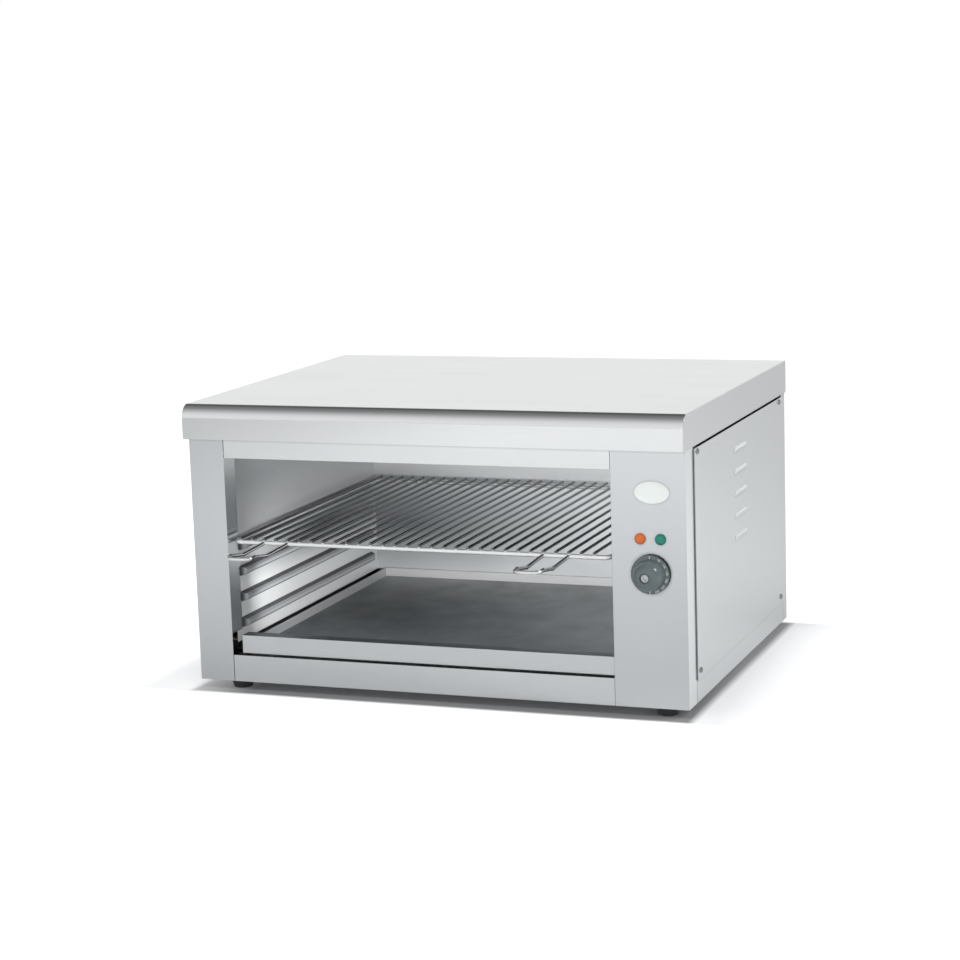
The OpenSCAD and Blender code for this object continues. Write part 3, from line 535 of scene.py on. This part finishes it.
class MELTER_OT_rack(bpy.types.Operator):
    """Plate the rack and add the weld at each crossing"""

    bl_idname = "melter.rack"
    bl_label = "Rack"

    weld_squash = 0.45     # height of a nugget over its width

    def execute(self, context):
        rack = context.scene.melter_rack
        plated = chromed_wire("steel_wire_chromed", rack.wire_colour, metallic=0.7)
        dress("rack_frame", plated)
        dress("rack_handles", chromed_wire("steel_rod_chromed", rack.wire_colour))
        # Painted shade: the cross wires are darker than the frame, for the dark chamber they mirror
        dress("rack_wires", chromed_wire("steel_wire_chromed_stained", rack.stained_colour))
        self.weld_crossings(rack, plated)
        return {"FINISHED"}

    def weld_crossings(self, rack, plated):
        """A squashed nugget under each wire, on the frame's front and rear rods."""
        low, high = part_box("rack_wires")
        frame_low, frame_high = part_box("rack_frame")
        rod = frame_high.z - frame_low.z
        wire = high.z - low.z
        pitch = (high.x - low.x - wire) / (rack.wires - 1)
        shape = bmesh.new()
        for i in range(rack.wires):
            x = low.x + wire / 2 + i * pitch
            for y in (frame_low.y + rod / 2, frame_high.y - rod / 2):
                nugget = bmesh.ops.create_icosphere(shape, subdivisions=2, radius=rack.weld_radius)
                for vertex in nugget["verts"]:
                    vertex.co.z *= self.weld_squash
                    vertex.co += Vector((x, y, low.z))
        new_piece("rack_welds", shape, plated, "rack", "rack_wire")


class MELTER_OT_tray(bpy.types.Operator):
    """Finish the crumb tray"""

    bl_idname = "melter.tray"
    bl_label = "Crumb tray"

    fold_radius = 1.2 * MM
    rear_wall_half = (1.0, 0.1, 0.1)       # half sizes of the painted light spot that takes in that wall
    hottest_shift = (0.12, -0.1)           # the darkest spot's place, from the middle of the floor
    hottest_half = (0.45, 0.45, 0.1)
    hottest_core = 0.75

    def execute(self, context):
        sheet = context.scene.melter_sheet
        pan = bright_stainless("stainless_tray", sheet.tray_colour, self.fold_radius)
        low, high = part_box("crumb_tray")
        # Painted shade: the side walls take a darker shade of the steel, for how light falls on
        # them
        facing(pan, ACROSS, SQUARE, "#B9BCBE")
        # Painted light keeps the rear wall lighter; painted shade darkens the floor for the dark
        # chamber it mirrors, most of all in a soft oval near the middle
        rear_wall = (low.x, high.y, high.z)
        facing(pan, DEPTH, SQUARE, "#F4F5F6", (rear_wall, self.rear_wall_half))
        facing(pan, UP, SQUARE, sheet.tray_floor_colour)
        darkest_spot = ((low.x + high.x) / 2 + self.hottest_shift[0],
                   (low.y + high.y) / 2 + self.hottest_shift[1], low.z)
        facing(pan, UP, SQUARE, sheet.burnt_colour, (darkest_spot, self.hottest_half),
               self.hottest_core)
        dress("crumb_tray", pan)
        return {"FINISHED"}


class MELTER_OT_controls(bpy.types.Operator):
    """Make the knob with its scale, the lamps' lenses and the bare oval plate"""

    bl_idname = "melter.controls"
    bl_label = "Controls"

    bore_radius = 4 * MM
    skirt_thickness = 3.5 * MM
    dome_radius = 17.2 * MM
    crown_height = 14 * MM        # height of the dome's rounded part
    cap_recess_radius = 5.6 * MM
    cap_recess_depth = 3 * MM
    flutes = 24                   # shallow grips round the skirt
    flute_depth = 0.35 * MM
    knob_steps = 192
    scale_radius = 19.7 * MM
    first_number_at = 33.0        # degrees clockwise from the top
    number_spacing = 24.5
    number_step = 50              # from one number to the next
    font_size = 1.4               # of a font, over the height of its digits
    stroke = (0.7 * MM, 3.2 * MM)
    ink_thickness = 0.03 * MM
    lens_neck_radius = 4.7 * MM
    lens_steps = 64
    plate_steps = 96

    def execute(self, context):
        controls = context.scene.melter_controls
        self.make_knob(controls)
        self.make_scale(controls)
        self.make_lenses(controls)
        self.make_plate(controls)
        return {"FINISHED"}

    def make_knob(self, controls):
        """A fluted skirt with a rounded dome, and a recess in its tip for the bright cap."""
        phenolic = moulded("phenolic_moulded", controls.knob_colour, 0.22, grain_mm=0.5, ior=1.55,
                           depth_mm=0.004)
        low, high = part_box("knob")
        centre = middle_of("knob")
        centre.y = 0.0
        rim = size_of("knob").x / 2
        back, tip = -high.y, -low.y
        skirt_front = back + self.skirt_thickness
        dome, recess = self.dome_radius, self.cap_recess_radius
        # The skirt with its softened edges up to the foot of the dome, the dome, and the recess
        profile = [(self.bore_radius, back), (rim - 0.6 * MM, back), (rim, back + 0.6 * MM),
                   (rim, skirt_front - 1.4 * MM), (rim - 0.5 * MM, skirt_front - 0.4 * MM),
                   (rim - 1.4 * MM, skirt_front), (dome + 0.5 * MM, skirt_front),
                   (dome, skirt_front + 0.5 * MM)]
        for i in range(12):
            angle = math.radians(i * 7.5)
            profile.append(
                (recess + 0.3 * MM + (dome - 1.0 * MM - recess) * math.cos(angle),
                 tip - self.crown_height + (self.crown_height - 0.2 * MM) * math.sin(angle)))
        floor = tip - self.cap_recess_depth
        profile += [(recess + 0.1 * MM, tip - 0.4 * MM), (recess, tip - 0.8 * MM), (recess, floor),
                    (0.0, floor)]

        def scallop(radius, reach, angle):
            if radius < rim - 0.9 * MM or reach > skirt_front:
                return radius
            return radius - self.flute_depth * max(0.0, math.cos(self.flutes * angle)) ** 4

        shape = bmesh.new()
        turned(shape, centre, profile, self.knob_steps, scallop)
        new_piece("thermostat_knob", shape, phenolic, "knob", "knob_black", "knob")
        dress("knob_cap", plain_metal("aluminium_turned_cap", "#C4C8CA", 0.25, grain_mm=1))
        dress("thermostat_shaft", plain_metal("steel_shaft_ground", "#B9BBBD", 0.25, grain_mm=2))

    def make_scale(self, controls):
        """A stroke at off and one opposite, and the numbers between them, printed on the skirt."""
        centre = middle_of("knob")
        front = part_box("knob")[1].y - self.skirt_thickness
        numbers = range(controls.first_mark, controls.last_mark + 1, self.number_step)
        marks = [(0.0, None), (180.0, None)]
        marks += [(self.first_number_at + self.number_spacing * i, str(number))
                  for i, number in enumerate(numbers)]
        shape = bmesh.new()
        for degrees, text in marks:
            mark = bmesh.new()
            if text:
                glyphs = bpy.data.curves.new("number", "FONT")
                glyphs.body = text
                glyphs.size = controls.mark_height * self.font_size
                glyphs.align_x, glyphs.align_y = "CENTER", "CENTER"
                glyphs.extrude = self.ink_thickness
                holder = bpy.data.objects.new("number", glyphs)
                mark.from_mesh(holder.to_mesh())
                bpy.data.objects.remove(holder)
                bpy.data.curves.remove(glyphs)
            else:
                bmesh.ops.create_cube(mark, size=1.0)
                for vertex in mark.verts:
                    vertex.co.x *= self.stroke[0]
                    vertex.co.y *= self.stroke[1]
                    vertex.co.z *= 2 * self.ink_thickness
            turn = math.radians(degrees)
            for vertex in mark.verts:
                x, up, out = vertex.co.x, vertex.co.y + self.scale_radius, vertex.co.z
                vertex.co = Vector((centre.x + x * math.cos(turn) + up * math.sin(turn),
                                    front - self.ink_thickness - out,
                                    centre.z - x * math.sin(turn) + up * math.cos(turn)))
            flat = bpy.data.meshes.new("mark")
            mark.to_mesh(flat)
            mark.free()
            shape.from_mesh(flat)
            bpy.data.meshes.remove(flat)
        ink = moulded("pad_print_white", controls.mark_colour, 0.5, grain_mm=0.4, depth_mm=0.005,
                      low=0.9)
        new_piece("knob_scale", shape, ink, "knob", "knob_black")

    def make_lenses(self, controls):
        """Two round lenses: a neck through the panel, a rim on it and a low dome."""
        panel = -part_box("control_panel")[0].y
        for node, colour in (("amber_lens", controls.amber), ("green_lens", controls.green)):
            low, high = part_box(node)
            centre = middle_of(node)
            centre.y = 0.0
            radius = size_of(node).x / 2
            reach, back, neck = -low.y, -high.y, self.lens_neck_radius
            profile = [(0.0, back), (neck, back), (neck, panel), (radius, panel),
                       (radius, panel + 0.9 * MM), (radius - 0.5 * MM, panel + 1.3 * MM)]
            foot = panel + 1.1 * MM
            for i in range(9):
                angle = math.radians(i * 10)
                profile.append(((radius - 0.9 * MM) * math.cos(angle),
                                foot + (reach - foot) * math.sin(angle)))
            profile.append((0.0, reach))
            shape = bmesh.new()
            turned(shape, centre, profile, self.lens_steps)
            new_piece(node + "_moulded", shape, acrylic_lens("acrylic_" + node, colour), "root",
                      node, node)
        dress("lamp_bodies", moulded("polyamide_lamp_body", "#DCDCD6", 0.5))

    def make_plate(self, controls):
        """A bare oval plate with a raised rim round a slightly dished face."""
        low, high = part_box("badge_plate")
        centre = middle_of("badge_plate")
        half = (high - low) / 2
        steps = self.plate_steps
        # Share of the plate's half sizes and place of each ring, from the back over the rim inwards
        profile = ((1.0, high.y), (1.0, low.y + 0.35 * MM), (0.985, low.y), (0.93, low.y),
                   (0.91, low.y + 0.2 * MM), (0.6, low.y + 0.12 * MM), (0.25, low.y + 0.05 * MM))
        shape = bmesh.new()
        rings = []
        for share, y in profile:
            angles = (2 * math.pi * i / steps for i in range(steps))
            rings.append([shape.verts.new((centre.x + share * half.x * math.sin(angle), y,
                                           centre.z + share * half.z * math.cos(angle)))
                          for angle in angles])
        for near, far in zip(rings, rings[1:]):
            for i in range(steps):
                after = (i + 1) % steps
                shape.faces.new((near[i], near[after], far[after], far[i]))
        shape.faces.new(rings[-1])
        shape.faces.new(reversed(rings[0]))
        bmesh.ops.recalc_face_normals(shape, faces=shape.faces)
        enamel = moulded("enamelled_oval_plate", controls.badge, 0.22, grain_mm=2.0, depth_mm=0.01,
                         low=0.96)
        new_piece("oval_plate", shape, enamel, "root", "badge_metal", "badge_plate")


class MELTER_OT_fittings(bpy.types.Operator):
    """Finish the screws, feet, gland and earth stud"""

    bl_idname = "melter.fittings"
    bl_label = "Fittings"

    def execute(self, context):
        zinc = plain_metal("steel_zinc_plated", "#9A9DA0", 0.25, grain_mm=1.5)
        for node in ("side_screws", "rear_screws", "cover_screws", "foot_screws", "foot_nuts",
                     "thermostat_screws", "element_pins"):
            dress(node, zinc)
        dress("feet", moulded("rubber_moulded", "#1B1C1D", 0.6, grain_mm=0.8, ior=1.52,
                              depth_mm=0.05, low=0.8))
        nylon = moulded("polyamide_moulded_black", "#202224", 0.42)
        for node in ("cable_gland", "gland_nut"):
            dress(node, nylon)
        dress("earth_stud", plain_metal("brass_turned_stud", "#CDAF72", 0.25, grain_mm=2))
        return {"FINISHED"}


class MELTER_OT_stage(bpy.types.Operator):
    """Set the floor, the soft studio light and the camera"""

    bl_idname = "melter.stage"
    bl_label = "Stage"

    # The room's brightness from the front horizon (0) over the zenith (0.5) to the rear one (1)
    arch = ((0.0, 1.02), (0.06, 1.0), (0.12, 0.96), (0.17, 0.92), (0.22, 0.84), (0.28, 0.72),
            (0.33, 0.58), (0.39, 0.48), (0.45, 0.345), (0.52, 0.275), (0.6, 0.22), (0.68, 0.17),
            (0.74, 0.12), (0.86, 0.12), (0.9, 0.8), (0.94, 0.99), (1.0, 1.06))
    horizon_top = (0.28, 0.42)     # heights of a view ray between which the bright horizon ends
    right_turn = (0.1, 0.4)        # shares to the right between which it comes down to its level
    right_level = 0.8

    # Name, power setting, size and place of each softbox, and whether bright metal mirrors it
    softboxes = (("key_overhead", "key_power", (2.4, 1.6), (-0.2, -0.8, 2.3), False),
                 ("fill_front", "fill_power", (4.5, 1.2), (0.9, -5.0, 0.8), False),
                 ("side_right", "side_power", (0.5, 0.8), (1.9, 0.35, 1.1), False),
                 ("side_spark", "spark_power", (0.3, 0.5), (1.5, 0.1, 1.35), True))
    middle = (0.0, 0.0, 0.15)
    # Name, power, size, place and target of the small lamps that lift the chamber's walls
    cards = (("card_right", 1.05, (0.36, 0.2), (0.19, 0.03, 0.17), (-1.0, 0.03, 0.17)),
             ("card_front", 0.65, (0.24, 0.06), (-0.09, -0.14, 0.115), (-0.09, 1.0, 0.13)))

    # The floor's colour outside the cabinet, its painted shadow under the cabinet, and its colour
    # as bright metal mirrors it
    paper_colour, shade_colour, mirrored_colour = "#EDEEEF", "#8E8F90", "#D0D1D2"
    floor_half = 7.0
    footprint = ((0.0, 0.036, 0.0), (0.30, 0.239, 0.0))    # its centre and half sizes
    foot_blend = 0.01              # width of the change from the shaded to the open floor
    right_from = 0.2               # X beyond which the floor belongs to the right side
    skew = 0.08                    # sideways shift of the shadow's edge for each metre of depth
    # Left and right: where the shadow's edge starts to lift, its lift there, and its whole width
    edge_start, edge_lift, edge_width = (-0.08, -0.015), (0.35, 0.06), (0.1, 0.2)
    aside_lift = 0.7
    before_width, before_lift = 0.012, 0.6                 # in front of and behind the footprint
    open_from, open_to, open_lift = 0.6, 1.4, 0.8          # distances from the middle
    # What bright metal mirrors of the floor: its glow at one end of each range and at the other
    ahead_power, ahead_reach, ahead_glow = 1.3, 1.84, (0.12, 0.78)
    left_turn, left_glow = (-1.25, -0.65), (0.35, 1.0)
    middle_turn, middle_glow = (-0.6, -0.35), (1.0, 0.8)
    right_reach, right_glow = 0.65, (0.12, 0.44)

    def execute(self, context):
        scene = context.scene
        stage = scene.melter_stage
        self.light_world(scene, stage)
        self.lay_floor()
        for name, setting, size, place, mirrored in self.softboxes:
            box = self.hang_softbox(name, size, getattr(stage, setting), place, self.middle)
            box.visible_glossy = mirrored
        for name, power, size, place, target in self.cards:
            card = self.hang_softbox(name, size, power * stage.card_level, place, target)
            card.visible_glossy = False
            card.visible_camera = False
        self.place_camera(scene, stage)
        scene.view_settings.view_transform = "Standard"
        return {"FINISHED"}

    def light_world(self, scene, stage):
        """White studio: white to the camera; to everything else a bright horizon all round, darker
        overhead and darkest above the rear."""
        world = bpy.data.worlds.new("studio")
        world.use_nodes = True
        scene.world = world
        tree = world.node_tree
        tree.nodes.clear()
        way = add(tree, "ShaderNodeTexCoord").outputs["Generated"]
        right, rear, up = add(tree, "ShaderNodeSeparateXYZ", {0: way}).outputs
        front = add(tree, "ShaderNodeMath", {0: rear, 1: -1.0}, operation="MULTIPLY")
        turn = add(tree, "ShaderNodeMath", {0: up, 1: front.outputs[0]}, operation="ARCTAN2")
        share = add(tree, "ShaderNodeMath", {0: turn.outputs[0], 1: math.pi}, operation="DIVIDE")
        arch = add(tree, "ShaderNodeFloatCurve", {1: share.outputs[0]})
        curve = arch.mapping.curves[0]
        curve.points[0].location, curve.points[1].location = self.arch[:2]
        for point in self.arch[2:]:
            curve.points.new(*point)
        arch.mapping.update()
        low = add(tree, "ShaderNodeMapRange", {0: up, 1: self.horizon_top[0],
                                               2: self.horizon_top[1], 3: 1.0, 4: 0.0})
        aside = add(tree, "ShaderNodeMapRange", {0: right, 1: self.right_turn[0],
                                                 2: self.right_turn[1], 3: 1.0,
                                                 4: self.right_level})
        low = add(tree, "ShaderNodeMath", {0: low.outputs[0], 1: aside.outputs[0]},
                  operation="MULTIPLY")
        room = add(tree, "ShaderNodeMath", {0: arch.outputs[0], 1: low.outputs[0]},
                   operation="MAXIMUM")
        room = add(tree, "ShaderNodeMath", {0: room.outputs[0], 1: stage.world_level},
                   operation="MULTIPLY")
        seen = add(tree, "ShaderNodeLightPath").outputs
        soft = add(tree, "ShaderNodeMix", {0: seen["Is Diffuse Ray"], 2: 1.0, 3: stage.soft_level})
        room = add(tree, "ShaderNodeMath", {0: room.outputs[0], 1: soft.outputs[0]},
                   operation="MULTIPLY")
        level = add(tree, "ShaderNodeMix", {0: seen["Is Camera Ray"], 2: room.outputs[0], 3: 1.0})
        white = add(tree, "ShaderNodeBackground", {"Color": (1, 1, 1, 1),
                                                   "Strength": level.outputs[0]})
        add(tree, "ShaderNodeOutputWorld", {0: white.outputs[0]})

    def lay_floor(self):
        """A wide pale sweep that keeps the shadow, has a painted shadow under the cabinet, and is
        otherwise white to the camera.
        """
        shape = bmesh.new()
        bmesh.ops.create_grid(shape, x_segments=2, y_segments=2, size=self.floor_half)
        mesh = bpy.data.meshes.new("floor")
        shape.to_mesh(mesh)
        shape.free()
        floor = bpy.data.objects.new("floor", mesh)
        bpy.context.scene.collection.objects.link(floor)
        paper, tree, shader, place = new_material("paper_sweep")
        mesh.materials.append(paper)
        shader.inputs["Roughness"].default_value = 0.9
        shader.inputs["Specular IOR Level"].default_value = 0.1
        across, depth, _ = add(tree, "ShaderNodeSeparateXYZ", {0: place}).outputs
        side = add(tree, "ShaderNodeMath", {0: across, 1: self.right_from},
                   operation="GREATER_THAN").outputs[0]

        # How far each point lies outside the footprint, across and in depth
        centre, half = self.footprint
        beyond = add(tree, "ShaderNodeVectorMath", {0: place, 1: centre}, operation="SUBTRACT")
        beyond = add(tree, "ShaderNodeVectorMath", {0: beyond.outputs[0]}, operation="ABSOLUTE")
        beyond = add(tree, "ShaderNodeVectorMath", {0: beyond.outputs[0], 1: half},
                     operation="SUBTRACT")
        gap_x, gap_y, _ = add(tree, "ShaderNodeSeparateXYZ", {0: beyond.outputs[0]}).outputs

        lift = self.lift_to_white(tree, place, side, depth, gap_x, gap_y)
        glow = self.glow_in_metal(tree, side, across, gap_x, gap_y)
        seen = add(tree, "ShaderNodeLightPath").outputs
        outside = add(tree, "ShaderNodeMath", {0: gap_x, 1: gap_y}, operation="MAXIMUM")
        outside = add(tree, "ShaderNodeMapRange", {0: outside.outputs[0], 1: 0.0,
                                                   2: self.foot_blend, 3: 0.0, 4: 1.0})
        paint = add(tree, "ShaderNodeMix", {0: outside.outputs[0], 6: linear(self.shade_colour),
                                            7: linear(self.paper_colour)}, data_type="RGBA")
        paint = add(tree, "ShaderNodeMix", {0: seen["Is Glossy Ray"], 6: paint.outputs[2],
                                            7: linear(self.mirrored_colour)}, data_type="RGBA")
        tree.links.new(paint.outputs[2], shader.inputs["Base Color"])
        glow = add(tree, "ShaderNodeMath", {0: seen["Is Glossy Ray"], 1: glow},
                   operation="MULTIPLY")
        light = add(tree, "ShaderNodeMath", {0: seen["Is Camera Ray"], 1: lift,
                                             2: glow.outputs[0]}, operation="MULTIPLY_ADD")
        shader.inputs["Emission Color"].default_value = (1, 1, 1, 1)
        tree.links.new(light.outputs[0], shader.inputs["Emission Strength"])

    def lift_to_white(self, tree, place, side, depth, gap_x, gap_y):
        """How much white the floor adds for the camera: little in the shadow, more away from it."""
        reach = add(tree, "ShaderNodeMath", {0: depth, 1: self.skew, 2: gap_x},
                    operation="MULTIPLY_ADD").outputs[0]
        start, edge, width = (
            add(tree, "ShaderNodeMix", {0: side, 2: left, 3: right}).outputs[0]
            for left, right in (self.edge_start, self.edge_lift, self.edge_width))
        near = add(tree, "ShaderNodeMapRange", {0: reach, 1: start, 2: 0.0, 3: 0.0, 4: edge})
        aside = add(tree, "ShaderNodeMapRange", {0: reach, 1: 0.0, 2: width, 3: 0.0,
                                                 4: self.aside_lift})
        before = add(tree, "ShaderNodeMapRange", {0: gap_y, 1: 0.0, 2: self.before_width, 3: 0.0,
                                                  4: self.before_lift})
        far = add(tree, "ShaderNodeVectorMath", {0: place}, operation="LENGTH").outputs["Value"]
        clear = add(tree, "ShaderNodeMapRange", {0: far, 1: self.open_from, 2: self.open_to, 3: 0.0,
                                                 4: self.open_lift})
        white = near.outputs[0]
        for more in (aside, before, clear):
            white = add(tree, "ShaderNodeMath", {0: white, 1: more.outputs[0]},
                        operation="MAXIMUM").outputs[0]
        return white

    def glow_in_metal(self, tree, side, across, gap_x, gap_y):
        """How much white the floor adds where bright metal mirrors it."""
        ahead = add(tree, "ShaderNodeMath", {0: gap_y, 1: self.ahead_power}, operation="POWER")
        glow = add(tree, "ShaderNodeMapRange",
                   {0: ahead.outputs[0], 1: 0.0, 2: self.ahead_reach, 3: self.ahead_glow[0],
                    4: self.ahead_glow[1]})
        for turn, levels in ((self.left_turn, self.left_glow),
                             (self.middle_turn, self.middle_glow)):
            share = add(tree, "ShaderNodeMapRange",
                        {0: across, 1: turn[0], 2: turn[1], 3: levels[0], 4: levels[1]})
            glow = add(tree, "ShaderNodeMath", {0: glow.outputs[0], 1: share.outputs[0]},
                       operation="MULTIPLY")
        right = add(tree, "ShaderNodeMapRange",
                    {0: gap_x, 1: 0.0, 2: self.right_reach, 3: self.right_glow[0],
                     4: self.right_glow[1]})
        mixed = add(tree, "ShaderNodeMix", {0: side, 2: glow.outputs[0], 3: right.outputs[0]})
        return mixed.outputs[0]

    def hang_softbox(self, name, size, power, place, target):
        """An area lamp that looks at a target."""
        lamp = bpy.data.lights.new(name, "AREA")
        lamp.shape = "RECTANGLE"
        lamp.size, lamp.size_y = size
        lamp.energy = power
        box = bpy.data.objects.new(name, lamp)
        box.location = place
        box.rotation_mode = "QUATERNION"
        box.rotation_quaternion = (Vector(target) - Vector(place)).to_track_quat("-Z", "Y")
        bpy.context.scene.collection.objects.link(box)
        return box

    def place_camera(self, scene, stage):
        """A camera aimed by its azimuth and elevation, and turned about its own axis."""
        lens = bpy.data.cameras.new("camera")
        lens.sensor_width = 36.0
        lens.lens = stage.lens
        lens.clip_end = 50.0
        camera = bpy.data.objects.new("camera", lens)
        forward = Vector((-math.sin(stage.azimuth) * math.cos(stage.elevation),
                          math.cos(stage.azimuth) * math.cos(stage.elevation),
                          -math.sin(stage.elevation)))
        camera.rotation_mode = "QUATERNION"
        camera.rotation_quaternion = (forward.to_track_quat("-Z", "Y")
                                      @ Quaternion((0, 0, 1), stage.roll))
        camera.location = stage.place
        scene.collection.objects.link(camera)
        scene.camera = camera


class MELTER_PT_panel(bpy.types.Panel):
    """Lists the steps and the settings"""

    bl_idname = "MELTER_PT_panel"
    bl_label = "Cheese melter"
    bl_space_type = "VIEW_3D"
    bl_region_type = "UI"
    bl_category = "Melter"

    def draw(self, context):
        for operator in OPERATORS:
            self.layout.operator(operator.bl_idname)
        for name, group in SETTINGS.items():
            box = self.layout.box()
            for key in group.__annotations__:
                box.prop(getattr(context.scene, name), key)


OPERATORS = (MELTER_OT_stage, MELTER_OT_cabinet, MELTER_OT_chamber, MELTER_OT_rack,
             MELTER_OT_tray, MELTER_OT_controls, MELTER_OT_fittings)


def register():
    for group in SETTINGS.values():
        bpy.utils.register_class(group)
    for name, group in SETTINGS.items():
        setattr(bpy.types.Scene, name, bpy.props.PointerProperty(type=group))
    for operator in OPERATORS:
        bpy.utils.register_class(operator)
    bpy.utils.register_class(MELTER_PT_panel)


def unregister():
    bpy.utils.unregister_class(MELTER_PT_panel)
    for operator in reversed(OPERATORS):
        bpy.utils.unregister_class(operator)
    for name in SETTINGS:
        delattr(bpy.types.Scene, name)
    for group in reversed(list(SETTINGS.values())):
        bpy.utils.unregister_class(group)


def main():
    """Makes everything in order."""
    register()
    for step in (bpy.ops.melter.stage, bpy.ops.melter.cabinet, bpy.ops.melter.chamber,
                 bpy.ops.melter.rack, bpy.ops.melter.tray, bpy.ops.melter.controls,
                 bpy.ops.melter.fittings):
        step()


if __name__ == "__main__":
    main()
